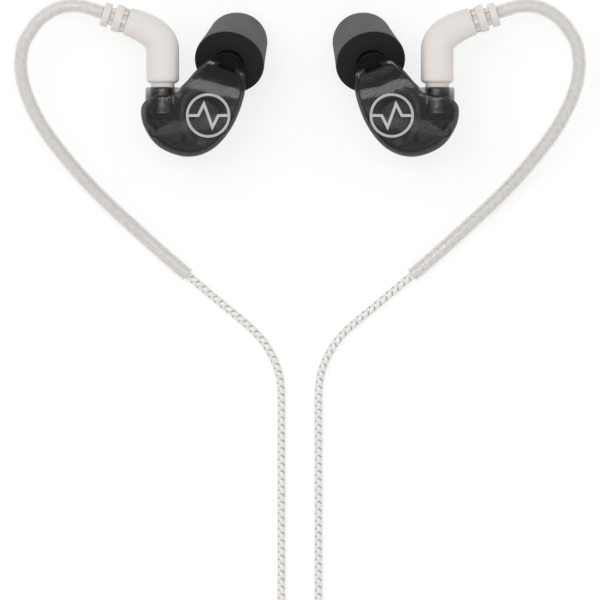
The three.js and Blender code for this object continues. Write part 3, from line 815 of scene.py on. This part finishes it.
def bowl_rings(outline, top, wall, steps=20):
    """Rings of a bowl from its rim to its floor; a wall makes the smaller bowl inside it."""
    size_in = 1 - wall / BOWL_REACH
    rings = []
    shares = [(0.0, 0.964), (0.01, 0.978), (0.03, 0.988), (0.07, 0.996), (0.14, 1.0)]
    shares += [(down, (1 - down ** 3.1) ** (1 / 3.1)) for down in np.sin(np.linspace(0.3, 1.52, steps))]
    for down, size in shares:
        ring = []
        for x, y in BOWL_CENTRE + (outline - BOWL_CENTRE) * size * size_in:
            depth = max(0.25, shell_depth(x, y) - wall)
            ring.append(Vector((x, y, top - down * depth)) * MM)
        rings.append(ring)
    return rings


def crown(x, y, share):
    """Height of the face plate's outer surface: a low crown that falls away along the neck. The share is of the
    way from its middle to its edge."""
    return 3.78 + 0.05 * (1 - min(1, share) ** 3) - 0.0115 * max(0, along_neck(x, y) - 1) ** 2


def plate_rings(outline):
    """Rings of the face plate from its flat back over its rounded edge to the middle of its crown."""
    spokes = (outline - BOWL_CENTRE) * (1 - PLATE_INSET / BOWL_REACH)
    back = [(0.985, 0), (0.997, 0.03), (1.0, 0.1)]
    edge = [(1.0, 0.3), (0.996, 0.17), (0.985, 0.06), (CROWN_EDGE, 0)]
    inner = (0.955, 0.93, 0.89, 0.84, 0.76, 0.66, 0.54, 0.4, 0.25, 0.12)
    rings = []
    for size, rise in back:
        rings.append([Vector((x, y, PLATE_BACK + rise)) * MM for x, y in BOWL_CENTRE + spokes * size])
    lowest = PLATE_BACK + back[-1][1]
    for size, drop in edge + [(size, 0) for size in inner]:
        rings.append([Vector((x, y, max(lowest, crown(x, y, size / CROWN_EDGE) - drop))) * MM
                      for x, y in BOWL_CENTRE + spokes * size])
    return rings


def plate_height(x, y, outline):
    """Height of the face plate at a point, in mm."""
    offset = np.array((x, y)) - BOWL_CENTRE
    spokes = (outline - BOWL_CENTRE) * (1 - PLATE_INSET / BOWL_REACH)
    nearest = int(np.argmax(spokes @ offset / np.linalg.norm(spokes, axis=1)))
    return crown(x, y, np.linalg.norm(offset) / (np.linalg.norm(spokes[nearest]) * CROWN_EDGE))


def make_shells():
    """The smoked shells, each a bowl with a boss for the socket and a neck for the nozzle."""
    outline = shell_outline()
    shell = ringed("shell", bowl_rings(outline, RIM_Z, 0))
    boss = turned("boss", [(0, -4.4), (3.3, -4.4), (3.3, -0.22), (3.08, 0), (0, 0)], 56, ALONG_Y)
    combined(boss, boxed("over_boss", (0, -0.0045, 0.0039), (0.008, 0.006, 0.0021)), "DIFFERENCE")
    neck = turned("neck", [(0, -2.4), (3.3, -2.4), (2.72, 1.45), (2.5, 1.7), (0, 1.7)], 56, NOZZLE_PLACE)
    combined(neck, boxed("over_neck", (0.0118, 0.0027, 0.00585), (0.03, 0.03, 0.006)), "DIFFERENCE")
    combined(shell, boss, "UNION")
    combined(shell, neck, "UNION")
    hollow = bowl_rings(outline, RIM_Z, SHELL_WALL)
    above = [p + Vector((0, 0, MM)) for p in hollow[0]]
    combined(shell, ringed("cavity", [above, *hollow]), "DIFFERENCE")
    bore = turned("bore", [(0, -5.2), (2.35, -5.2), (2.35, 0.5), (0, 0.5)], 48, ALONG_Y)
    combined(shell, bore, "DIFFERENCE")
    stem_bore = turned("stem_bore", [(0, -4), (1.9, -4), (1.9, 3), (0, 3)], 40, NOZZLE_PLACE)
    combined(shell, stem_bore, "DIFFERENCE")
    flagged(shell, "thin", lambda place: place.x < 3.4 * MM and place.y > -1.7 * MM)
    both("shell_body", smooth(shell, 34), "earpiece", "smoked_shell", ("shell",))


def make_plates():
    """The crowned face plates."""
    plate = smooth(ringed("plate", plate_rings(shell_outline())), 60)
    both("plate_lens", plate, "earpiece", "smoked_plate", ("face_plate",))


def make_marks():
    """The plain mark, a ring crossed by a pulse line, laid on the crown of each face plate."""
    outline = shell_outline()
    profile = [(3.68, 0), (4.2, 0), (4.2, 0.07), (4.16, 0.1), (3.72, 0.1), (3.68, 0.07), (3.68, 0)]
    ring = turned("mark_ring", profile, 96, Matrix.Translation(Vector((*MARK_CENTRE, 0)) * MM))
    corners = np.array([(-3.75, 0), (-1.9, 0), (-0.8, 2.2), (0.8, -2.2), (1.9, 0), (3.75, 0)], float)
    ahead = np.diff(corners, axis=0)
    ahead /= np.linalg.norm(ahead, axis=1)[:, None]
    square = np.stack([-ahead[:, 1], ahead[:, 0]], axis=1)
    mitres = [square[0]]
    for before, after in zip(square, square[1:]):
        middle = before + after
        mitres.append(middle / middle.dot(before))
    mitres = np.array(mitres + [square[-1]]) * 0.26
    upper, _ = spaced(corners + mitres, 0.2)
    lower, _ = spaced(corners - mitres, 0.2)
    stroke = [Vector((x + MARK_CENTRE[0], y + MARK_CENTRE[1], 0)) * MM for x, y in [*upper, *lower[::-1]]]
    pulse = ringed("pulse", [stroke, [p + Vector((0, 0, 0.1 * MM)) for p in stroke]])
    mark = joined("mark", [ring, pulse])
    for vertex in mark.data.vertices:
        x, y = vertex.co.x / MM, vertex.co.y / MM
        vertex.co.z += (plate_height(x, y, outline) + 0.02) * MM
    both("mark_print", smooth(mark, 40), "earpiece", "silver_mark", ("face_mark",))


def make_sockets():
    """The socket barrels with their rows of pressed windows, and the sleeves and contacts of the plugs."""
    profile = [(1.55, -4.5), (1.6, -4.86), (2.25, -4.9), (2.25, -4.5), (2.05, -4.2), (2.05, -3.3), (2.05, -1.3),
               (2.05, -0.32), (1.95, -0.2), (1.55, -0.2), (1.55, -4.5)]

    def window(middle):
        turn = math.degrees(math.atan2(middle.z, middle.x))
        return math.hypot(middle.x, middle.z) > 1.9 and -3.2 < middle.y < -1.4 and turn % 60 < 30

    barrel = pressed(turned("barrel", profile, 48, ALONG_Y), window, (0.12, 0), (0.05, -0.3))
    both("socket_sleeve", barrel, "earpiece", "steel", ("socket_barrel",))
    profile = [(0.85, -3.2), (1.12, -3.2), (1.25, -3.02), (1.25, -2.5), (1, -2.42), (1, -1.98), (1.25, -1.9),
               (1.25, 2.96), (0.85, 2.96), (0.85, -3.2)]
    plug = smooth(turned("plug", profile, 40, ALONG_Y))
    both("plug_sleeve", plug, "cable", "gold_contact", ("plug_barrel",))
    pin = turned("pin", [(0, -3.6), (0.12, -3.58), (0.35, -3.25), (0.35, 2.8), (0, 2.8)], 24, ALONG_Y)
    both("plug_contact", smooth(pin), "cable", "gold_contact", ("plug_pin",))


def tubes_inside():
    """Sound tubes and wires, smooth versions on the routes of the CAD ones."""
    routes = {
        "sound_tube": [(4.75, -10.2, 0.25), (5.4, -10.2, 0.6), (5.2, -9.5, 1.4), (4.2, -8, 1.85),
                       (3.7, -5.4, 1.9), (4, -2.8, 1.8), (5.3, -1, 1.7), (7.3, -0.3, 1.7)],
        "red_wire": [(-0.4, -6.5, 0.9), (0.4, -6.9, 1.4), (1.7, -6.9, 1.5), (2.6, -6.5, 1.3)],
        "dark_wire": [(-1.7, -6.5, 0.9), (-1.6, -7.7, 1.4), (-0.4, -8.3, 1.75), (1.2, -8.1, 1.7),
                      (2.5, -7.5, 1.5)],
    }
    for name, route in routes.items():
        radius, slot = (0.55, "clear_tube") if name == "sound_tube" else (0.19, name)
        tube = smooth(piped(name, spline_points(route, 7) * MM, radius * MM, sides=16))
        both(name + "_run", tube, "earpiece", slot, (name,))


def make_small_parts():
    """Loose inner details without CAD nodes of their own: solder beads, a capacitor and a coiled pigtail."""
    bead = turned("bead", [(0, -0.16), (0.3, -0.1), (0.36, 0.02), (0.2, 0.22), (0, 0.26)], 20)
    parts = []
    for x, y in ((-1.9, -5.6), (-0.6, -5.6), (0.9, -5.6), (2.72, -4.1)):
        part = linked("bead_copy", bead.data.copy())
        parts.append(placed(part, Matrix.Translation((x * MM, y * MM, 1.24 * MM))))
    bpy.data.objects.remove(bead)
    both("solder_beads", smooth(joined("beads", parts)), "earpiece", "steel", look="dark_steel")
    chip = edged(boxed("chip", (0, 0, 0), (0.0017, 0.0013, 0.0008)), 0.12)
    placed(chip, Matrix.Translation((0.0074, -0.0104, 0.0006)) @ Matrix.Rotation(math.radians(-28), 4, "Z"))
    both("capacitor", smooth(chip), "earpiece", "driver_film")
    angles = np.linspace(0.6, 7.6, 40)
    turns = [(-1.7 + 0.75 * math.cos(a), -8.3 + 1.0 * math.sin(a), -0.6 + 0.1 * a) for a in angles]
    pigtail = piped("pigtail", np.array(turns) * MM, 0.17 * MM, sides=12)
    both("pigtail", smooth(pigtail), "earpiece", "dark_wire")


def make_nozzles():
    """Nozzles with their collars, the seals and dampers behind them and the rubber cores of the tips."""
    profile = [(0.95, 2.15), (2.78, 2.15), (2.9, 2.27), (2.9, 2.76), (2.78, 2.9), (1.75, 3.02), (1.6, 3.2),
               (1.6, 8.1), (1.76, 8.35), (1.74, 8.6), (1.45, 9.56), (1.38, 9.6), (1.02, 9.6), (0.95, 9.53),
               (0.95, 2.15)]
    nozzle = smooth(turned("nozzle", profile, 56, NOZZLE_PLACE))
    # The nozzle is near black, a painted shade for the shadowed neck.
    both("nozzle_stem", nozzle, "earpiece", "black_nozzle", ("nozzle",))
    seal = turned("seal", [(0, -2.2), (2.86, -2.2), (2.8, 2.08), (0, 2.08)], 56, NOZZLE_PLACE)
    beyond = boxed("beyond_plate", (0, 0, 0), (0.012, 0.006, 0.02))
    past_plate = Matrix.Rotation(-NOZZLE_TURN, 4, "Z") @ Matrix.Translation(Vector((10.16, 10.97, -7.05)) * MM)
    combined(seal, placed(beyond, past_plate), "INTERSECT")
    both("neck_seal", smooth(seal), "earpiece", "core_rubber")
    damper = turned("damper", [(0, 1.3), (1.75, 1.3), (1.85, 1.4), (1.85, 2.1), (0, 2.1)], 40, NOZZLE_PLACE)
    # The damper shares the nozzle's painted shade.
    both("acoustic_damper", smooth(damper), "earpiece", "black_nozzle")
    profile = [(1.9, 4), (2.6, 4), (2.6, 13.5), (2.45, 13.7), (2, 13.8), (1.36, 13.8), (1.3, 13.7), (1.3, 9.9),
               (1.9, 9.9), (1.9, 4)]
    core = smooth(turned("core", profile, 48, NOZZLE_PLACE))
    both("tip_sleeve", core, "tip", "core_rubber", ("tip_core",))


def make_foam_tips():
    """Foam tips: sleeves that taper to a round shoulder, with a faintly uneven skin and a flat back."""
    end, shoulder, front = 16.5, 4.2, 5.75
    profile = [(2.75, 4.0), (3.6, 4.0), (4.6, 4.0), (5.6, 4.0), (6.3, 4.0), (6.55, 4.06), (6.68, 4.24)]
    for share in np.linspace(0, 0.92, 10):
        profile.append((6.7 + (front - 6.7) * share, 4.5 + (end - shoulder - 4.5) * share))
    for step in range(12):
        angle = step / 14 * math.pi / 2
        reach, rise = shoulder * math.cos(angle), shoulder * math.sin(angle)
        profile.append((front - shoulder + reach, end - shoulder + rise))
    profile += [(2.86, end - 0.12), (2.75, end - 0.25), (2.75, 12), (2.75, 8), (2.75, 4.0)]
    tip = turned("tip", profile, 72)
    bumps = (((0.9, 5.0), 3, 0.035), ((2.7, 8.5), 2, 0.03), ((4.2, 11.5), 5, 0.02))
    for vertex in tip.data.vertices:
        radius = math.hypot(vertex.co.x, vertex.co.y) / MM
        if radius > 3.4 and vertex.co.z > 4.1 * MM:
            turn = math.atan2(vertex.co.y, vertex.co.x)
            sink = sum(depth * (0.5 + 0.5 * math.sin(waves * turn + lag[0] + vertex.co.z / MM * 0.7))
                       for lag, waves, depth in bumps)
            vertex.co.xy *= 1 - sink / radius
    # Flags the flat back for the foam's painted shade.
    flagged(tip, "cut", lambda place: place.z < 4.1 * MM)
    tip = smooth(placed(tip, NOZZLE_PLACE), 50)
    for piece in both("foam_sleeve", tip, "tip", "foam", ("foam_tip",)):
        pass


def rounded_section(power=3.2, count=56):
    """A soft square of radius 1, between a circle and a square."""
    section = []
    for step in range(count):
        angle = (step + 0.5) / count * math.tau
        c, s = math.cos(angle), math.sin(angle)
        reach = (abs(c) ** power + abs(s) ** power) ** (-1 / power)
        section.append((reach * c, reach * s))
    widest = max(x for x, _ in section)
    return [(x / widest, y / widest) for x, y in section]


def make_boots():
    """The frosted elbow boots and their slotted strain reliefs."""
    arm_end, arm_dir = np.array((-7.13, 12.6)), np.array((-0.956, 0.292))
    corner = np.array((0, arm_end[1] + arm_end[0] * arm_dir[1] / -arm_dir[0]))
    thick, thin = 3.09, 2.6
    neck = [(-0.1, 2.06), (-0.04, 2.2), (0.06, 2.24), (0.76, 2.24), (0.79, 2.5), (0.84, 2.62), (1.1, 2.9),
            (1.2, 3.02)]
    stations = [((0, y), radius) for y, radius in neck]
    stations += [((0, y), thick) for y in (1.34, 2.2, 3.6, 5.0, 6.1, 6.9)]
    start = np.array((0, 7.1))
    for step in range(1, 22):
        t = step / 22
        place = (1 - t) ** 2 * start + 2 * t * (1 - t) * corner + t * t * arm_end
        stations.append((tuple(place), thick + (thin - thick) * t ** 2.2))
    stations.append((tuple(arm_end - arm_dir * 0.38), 2.45))
    points = [Vector((x, y, 0)) * MM for (x, y), _ in stations]
    boot = piped("boot", points, [r * MM for _, r in stations], rounded_section(2.7))
    boot_bore = turned("boot_bore", [(0, -1), (1.55, -1), (1.55, 3.4), (0, 3.4)], 40, ALONG_Y)
    combined(boot, boot_bore, "DIFFERENCE")
    both("elbow_cover", smooth(boot, 40), "cable", "frosted_boot", ("elbow_boot",))
    profile = [(0, -0.36), (1.9, -0.36), (2.34, -0.32), (2.34, 0.56), (2.5, 0.6), (2.6, 0.72), (2.6, 2.0),
               (2.5, 2.1), (1.95, 2.12), (1.9, 3.02), (2.2, 3.05), (2.3, 3.14), (2.3, 4.26), (2.18, 4.4),
               (1.45, 4.4), (1.4, 4.3), (0, 4.3)]

    def window(middle):
        around = math.hypot(middle.x, middle.y)
        turn = math.degrees(math.atan2(middle.y, middle.x))
        in_groove = -0.3 < middle.z < 0.56 and around > 2.2 and turn % 45 < 29
        in_neck = 2.2 < middle.z < 3.0 and 1.8 < around < 2 and (turn + 30) % 90 < 58
        return in_groove or in_neck

    relief = pressed(turned("relief", profile, 64), window, (0.04, -0.45))
    placed(relief, aimed((*arm_end, 0), Vector((*arm_dir, 0))))
    both("relief_ribs", relief, "cable", "frosted_boot", ("strain_relief",))


# The cord in an ear hook and the bore that it lies in, as shares of the sleeve's radius, and the cord's repeat.
HOOK_CORE, HOOK_BORE = 0.775, 0.8
HOOK_REPEAT = 0.00185


def make_hooks(sleeve_radius):
    """The clear ear hook sleeves, with the braided cord that runs through each."""
    for side, sign in SIDES:
        route = spline_points([(sign * x, y, z) for x, y, z in HOOK_ROUTE], 7)
        points = [Vector(p) for p in route]
        core = strands(f"{side}_hook_core", route, sleeve_radius * HOOK_CORE, HOOK_REPEAT,
                       sides=20, rings=9, depth=0.05)
        finished(core, "cable", "braided_lead", look="hook_braid")
        outer = piped(f"{side}_hook_sleeve", points, sleeve_radius, sides=32)
        before, after = (points[0] - points[1]) * 0.4, (points[-1] - points[-2]) * 0.4
        longer = [points[0] + before, *points, points[-1] + after]
        combined(outer, piped("hook_bore", longer, sleeve_radius * HOOK_BORE, sides=32), "DIFFERENCE")
        finished(smooth(outer), "cable", "clear_jacket", (f"{side}_hook_tube",))


def make_slider():
    """The chin slider: a soft frosted bar with two holes and three grip grooves."""
    low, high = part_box("chin_slider")
    middle, size = (low + high) / 2, high - low
    slider = boxed("slider_bar", middle, size)
    bpy.ops.object.mode_set(mode="EDIT")
    bpy.ops.mesh.select_mode(type="EDGE")
    bpy.ops.mesh.select_all(action="DESELECT")
    shape = bmesh.from_edit_mesh(slider.data)
    for edge in shape.edges:
        a, b = (v.co for v in edge.verts)
        edge.select_set(abs(a.z - b.z) > size.z / 2)
    bmesh.update_edit_mesh(slider.data)
    bpy.ops.mesh.bevel(offset=0.0016, segments=8)
    bpy.ops.mesh.select_mode(type="VERT")
    bpy.ops.object.mode_set(mode="OBJECT")
    edged(slider, 0.35, 4)
    for _, sign in SIDES:
        place = Matrix.Translation((sign * 0.00352, middle.y, 0.00107)) @ ALONG_Y
        combined(slider, turned("hole", [(0, -6), (0.95, -6), (0.95, 6), (0, 6)], 40, place), "DIFFERENCE")
    for y in (-2.4, 0, 2.4):
        place = (Matrix.Translation((0, middle.y + y * MM, high.z + 0.25 * MM))
                 @ Matrix.Rotation(math.pi / 2, 4, "Y") @ Matrix.Diagonal((1, 1, 4.5, 1)))
        groove = turned("groove", [(0, -0.6), (0.5, -0.35), (0.5, 0.35), (0, 0.6)], 24, place)
        combined(slider, groove, "DIFFERENCE")
    finished(smooth(slider), "slider", "frosted_boot", ("chin_slider",))


def make_split():
    """The frosted moulding where the two leads become one, tapered, with three grooves round it."""
    low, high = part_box("cable_split")
    middle = (low + high) / 2
    half = (high.x - low.x) / 2 / MM
    outline = [(0.93, 0.02), (1.0, 0.05), (1.0, 0.42), (0.97, 0.56), (0.9, 0.72), (0.8, 0.86), (0.71, 0.97),
               (0.66, 0.995)]
    points, radii = [Vector((0, high.y - 0.0001, middle.z))], [half * 0.86 * MM]
    for width, share in outline:
        points.append(Vector((0, high.y + (low.y - high.y) * share, middle.z)))
        radii.append(half * width * 0.995 * MM)
    section = [(x, y * 0.62) for x, y in rounded_section(2.6)]
    split = piped("split_body", points, radii, section)
    for share in (0.5, 0.62, 0.74):
        y = high.y + (low.y - high.y) * share
        place = Matrix.Translation((0, y, middle.z)) @ ALONG_Y @ Matrix.Diagonal((1.62, 1, 1, 1))
        profile = [(1.2, -0.22), (3.2, -0.22), (3.2, 0.22), (1.2, 0.22), (1.2, -0.22)]
        combined(split, turned("groove", profile, 40, place), "DIFFERENCE")
    finished(smooth(split), "cable", "frosted_boot", ("cable_split",))


def contact(low, high):
    """The profile of a ring contact of the plug between two heights."""
    return [(1.15, low), (1.7, low), (1.75, low + 0.05), (1.75, high - 0.05), (1.7, high), (1.15, high),
            (1.15, low)]


def make_jack():
    """The stereo plug: a ribbed boot, a housing with a grip, and turned contacts."""
    place = Matrix.Translation(Vector((-17, -183, 3.3)) * MM) @ Matrix.Rotation(-math.pi / 2, 4, "Y")
    boot = [(0, 0), (1.62, 0), (1.72, 0.1)]
    for rib in range(5):
        at = 0.6 + rib * 1.35
        outer = 1.72 + rib * 0.15
        boot += [(outer, at), (outer - 0.3, at + 0.08), (outer - 0.3, at + 0.42), (outer + 0.03, at + 0.5)]
    boot += [(2.42, 7.2), (2.4, 7.6), (0, 7.6)]
    grip = [(0, 7.9), (2.75, 7.9), (2.9, 8.02), (3.28, 8.7), (3.3, 9)]
    for groove in range(7):
        at = 11 + groove * 0.75
        grip += [(3.3, at), (3.12, at + 0.1), (3.12, at + 0.3), (3.3, at + 0.4)]
    grip += [(3.3, 20.5), (3.24, 20.9), (3.0, 21.35), (2.3, 21.75), (2.2, 21.8), (0, 21.8)]
    insulator = [(0.8, 22.2), (1.05, 22.2), (1.05, 28.3), (1.7, 28.32), (1.7, 28.88), (1.05, 28.9), (1.05, 31),
                 (1.7, 31.02), (1.7, 31.58), (0.8, 31.6), (0.8, 22.2)]
    tip = [(0, 22.3), (0.7, 22.3), (0.7, 31.7), (1.7, 31.7), (1.75, 31.78), (1.6, 32.1), (1.25, 32.75),
           (1.2, 33), (1.27, 33.3), (1.62, 33.95), (1.72, 34.3), (1.66, 34.65), (1.3, 35.3), (0.9, 35.8),
           (0.45, 36.05), (0, 36.1)]
    bodies = {
        "jack_boot": (boot, "frosted_boot"),
        "jack_grip": (grip, "jack_housing"),
        "jack_sleeve": (contact(22.1, 28.2), "gold_contact"),
        "jack_ring": (contact(29, 30.9), "gold_contact"),
        "jack_insulator": (insulator, "insulator"),
        "jack_tip": (tip, "gold_contact"),
    }
    for name, (profile, slot) in bodies.items():
        finished(smooth(turned(name + "_turned", profile, 56, place), 34), "cable", slot, (name,))


def make_cords(cable):
    """Both leads and the main lead, whole, each from where it leaves a boot to where it ends."""
    for side, sign in SIDES:
        path, _ = spaced(lead_path(sign), 0.0004)
        lead = strands(f"{side}_lead_cord", path, cable.lead_diameter / 2, cable.braid_repeat)
        finished(lead, "cable", "braided_lead", (f"{side}_lead", "lead_coil"))
    path, _ = spaced(main_path(), 0.0006)
    main = strands("main_cord", path, cable.main_diameter / 2, cable.braid_repeat * 4 / 3)
    finished(main, "cable", "braided_lead", ("main_lead", "main_coil", "main_tail"))


def dress_frame():
    """Finishes for the CAD nodes that stay."""
    kept = {"driver_can": "steel", "driver_magnet": "steel", "driver_diaphragm": "driver_film",
            "armature_driver": "dark_steel", "crossover_board": "circuit_board",
            "socket_insulator": "insulator", "nozzle_filter": "steel", "snap_ring": "steel"}
    for side, _ in SIDES:
        for node, slot in kept.items():
            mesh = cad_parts[f"{side}_{node}"].data
            mesh.materials.clear()
            mesh.materials.append(FINISHES[slot])


# ---- stage ------------------------------------------------------------------


FLOOR_SIZE = 6
SENSOR_WIDTH = 36
VIEW_MIDDLE = (0, -0.0303)


def make_stage(stage):
    """A pale floor, soft light and the camera over it."""
    clear_selection()
    bpy.ops.mesh.primitive_plane_add(size=FLOOR_SIZE, location=(0, 0, -0.0002))
    floor = bpy.context.view_layer.objects.active
    floor.name = "floor"
    finish = Finish("floor", roughness=0.9, specular_ior_level=0.1, emission_color=(1.0, 1.0, 1.0),
                    emission_strength=stage.floor_glow)
    colour = tuple(stage.floor_colour)
    finish.feed(finish.shader, {"Base Color": finish.blend(finish.noise(3), shaded(colour, 0.995), colour)})
    floor.data.materials.append(finish.material)
    world = bpy.data.worlds.new("studio")
    world.use_nodes = True
    sky = world.node_tree.nodes["Background"]
    sky.inputs["Color"].default_value = (1, 1, 1, 1)
    sky.inputs["Strength"].default_value = stage.sky_strength
    scene = bpy.context.scene
    scene.world = world
    scene.view_settings.view_transform = "Standard"
    lamps = (("softbox", (-0.35, 0.25, 0.9), stage.soft_power, 0.7, 0.5),
             ("strip", (0.0, 0.105, 0.8), stage.strip_power, 0.5, 0.07))
    for name, place, power, width, height in lamps:
        light = bpy.data.lights.new(name, "AREA")
        light.shape = "RECTANGLE"
        light.size, light.size_y, light.energy = width, height, power
        lamp = linked(name, light)
        lamp.location = place
        lamp.rotation_euler = (Vector((0, -0.02, 0)) - lamp.location).to_track_quat("-Z", "Y").to_euler()
    camera = bpy.data.cameras.new("camera")
    camera.sensor_width = SENSOR_WIDTH
    camera.lens = SENSOR_WIDTH * stage.camera_height / stage.view_width
    camera.clip_start, camera.clip_end = 0.05, 20
    eye = linked("camera", camera)
    eye.location = (*VIEW_MIDDLE, stage.camera_height)
    scene.camera = eye


# ---- operators --------------------------------------------------------------


def done(make, *args):
    """Runs one maker for an operator; anything that goes wrong raises and stops the script."""
    make(*args)
    return {"FINISHED"}


class MONITORS_OT_stage(bpy.types.Operator):
    """Adds the floor, the lights and the camera, and makes every finish"""

    bl_idname = "monitors.stage"
    bl_label = "Stage and finishes"

    def execute(self, context):
        make_finishes(context.scene.monitors_cable, context.scene.monitors_earpiece)
        return done(make_stage, context.scene.monitors_stage)


class MONITORS_OT_fittings(bpy.types.Operator):
    """Adds the slider, the split and the plug of the cable"""

    bl_idname = "monitors.fittings"
    bl_label = "Slider, split and plug"

    def execute(self, context):
        make_slider()
        make_split()
        return done(make_jack)


class MONITORS_OT_cords(bpy.types.Operator):
    """Adds both leads and the main lead at their full lengths"""

    bl_idname = "monitors.cords"
    bl_label = "Leads"

    def execute(self, context):
        return done(make_cords, context.scene.monitors_cable)


class MONITORS_OT_hooks(bpy.types.Operator):
    """Adds the clear ear hook sleeves and the cord inside them"""

    bl_idname = "monitors.hooks"
    bl_label = "Ear hooks"

    def execute(self, context):
        return done(make_hooks, context.scene.monitors_cable.sleeve_diameter / 2)


class MONITORS_OT_boots(bpy.types.Operator):
    """Adds the elbow boots and strain reliefs"""

    bl_idname = "monitors.boots"
    bl_label = "Elbow boots"

    def execute(self, context):
        return done(make_boots)


class MONITORS_OT_sockets(bpy.types.Operator):
    """Adds the socket barrels and the plugs in them"""

    bl_idname = "monitors.sockets"
    bl_label = "Sockets and plugs"

    def execute(self, context):
        return done(make_sockets)


class MONITORS_OT_shells(bpy.types.Operator):
    """Adds the smoked shells, their face plates and the marks"""

    bl_idname = "monitors.shells"
    bl_label = "Shells, plates and marks"

    def execute(self, context):
        make_shells()
        make_plates()
        return done(make_marks)


class MONITORS_OT_insides(bpy.types.Operator):
    """Adds tubes, wires and small parts, and finishes the CAD nodes inside the shells"""

    bl_idname = "monitors.insides"
    bl_label = "Inner parts"

    def execute(self, context):
        tubes_inside()
        make_small_parts()
        return done(dress_frame)


class MONITORS_OT_tips(bpy.types.Operator):
    """Adds the nozzles, the tip cores and the foam tips"""

    bl_idname = "monitors.tips"
    bl_label = "Nozzles and foam tips"

    def execute(self, context):
        make_nozzles()
        return done(make_foam_tips)


OPERATORS = (MONITORS_OT_stage, MONITORS_OT_fittings, MONITORS_OT_cords, MONITORS_OT_hooks, MONITORS_OT_boots,
             MONITORS_OT_sockets, MONITORS_OT_shells, MONITORS_OT_insides, MONITORS_OT_tips)


class MONITORS_PT_panel(bpy.types.Panel):
    """Lists the steps that build the monitors"""

    bl_idname = "MONITORS_PT_panel"
    bl_label = "In-ear monitors"
    bl_space_type = "VIEW_3D"
    bl_region_type = "UI"
    bl_category = "Monitors"

    def draw(self, context):
        for step in OPERATORS:
            self.layout.operator(step.bl_idname, text=step.bl_label)


SETTINGS = (("monitors_cable", CableSettings), ("monitors_earpiece", EarpieceSettings),
            ("monitors_stage", StageSettings))
CLASSES = tuple(group for _, group in SETTINGS) + OPERATORS + (MONITORS_PT_panel,)


def register():
    for kind in CLASSES:
        bpy.utils.register_class(kind)
    for name, group in SETTINGS:
        setattr(bpy.types.Scene, name, bpy.props.PointerProperty(type=group))


def unregister():
    for name, _ in SETTINGS:
        delattr(bpy.types.Scene, name)
    for kind in reversed(CLASSES):
        bpy.utils.unregister_class(kind)


def main():
    register()
    for step in OPERATORS:
        group, name = step.bl_idname.split(".")
        getattr(getattr(bpy.ops, group), name)()
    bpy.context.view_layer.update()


if __name__ == "__main__":
    main()
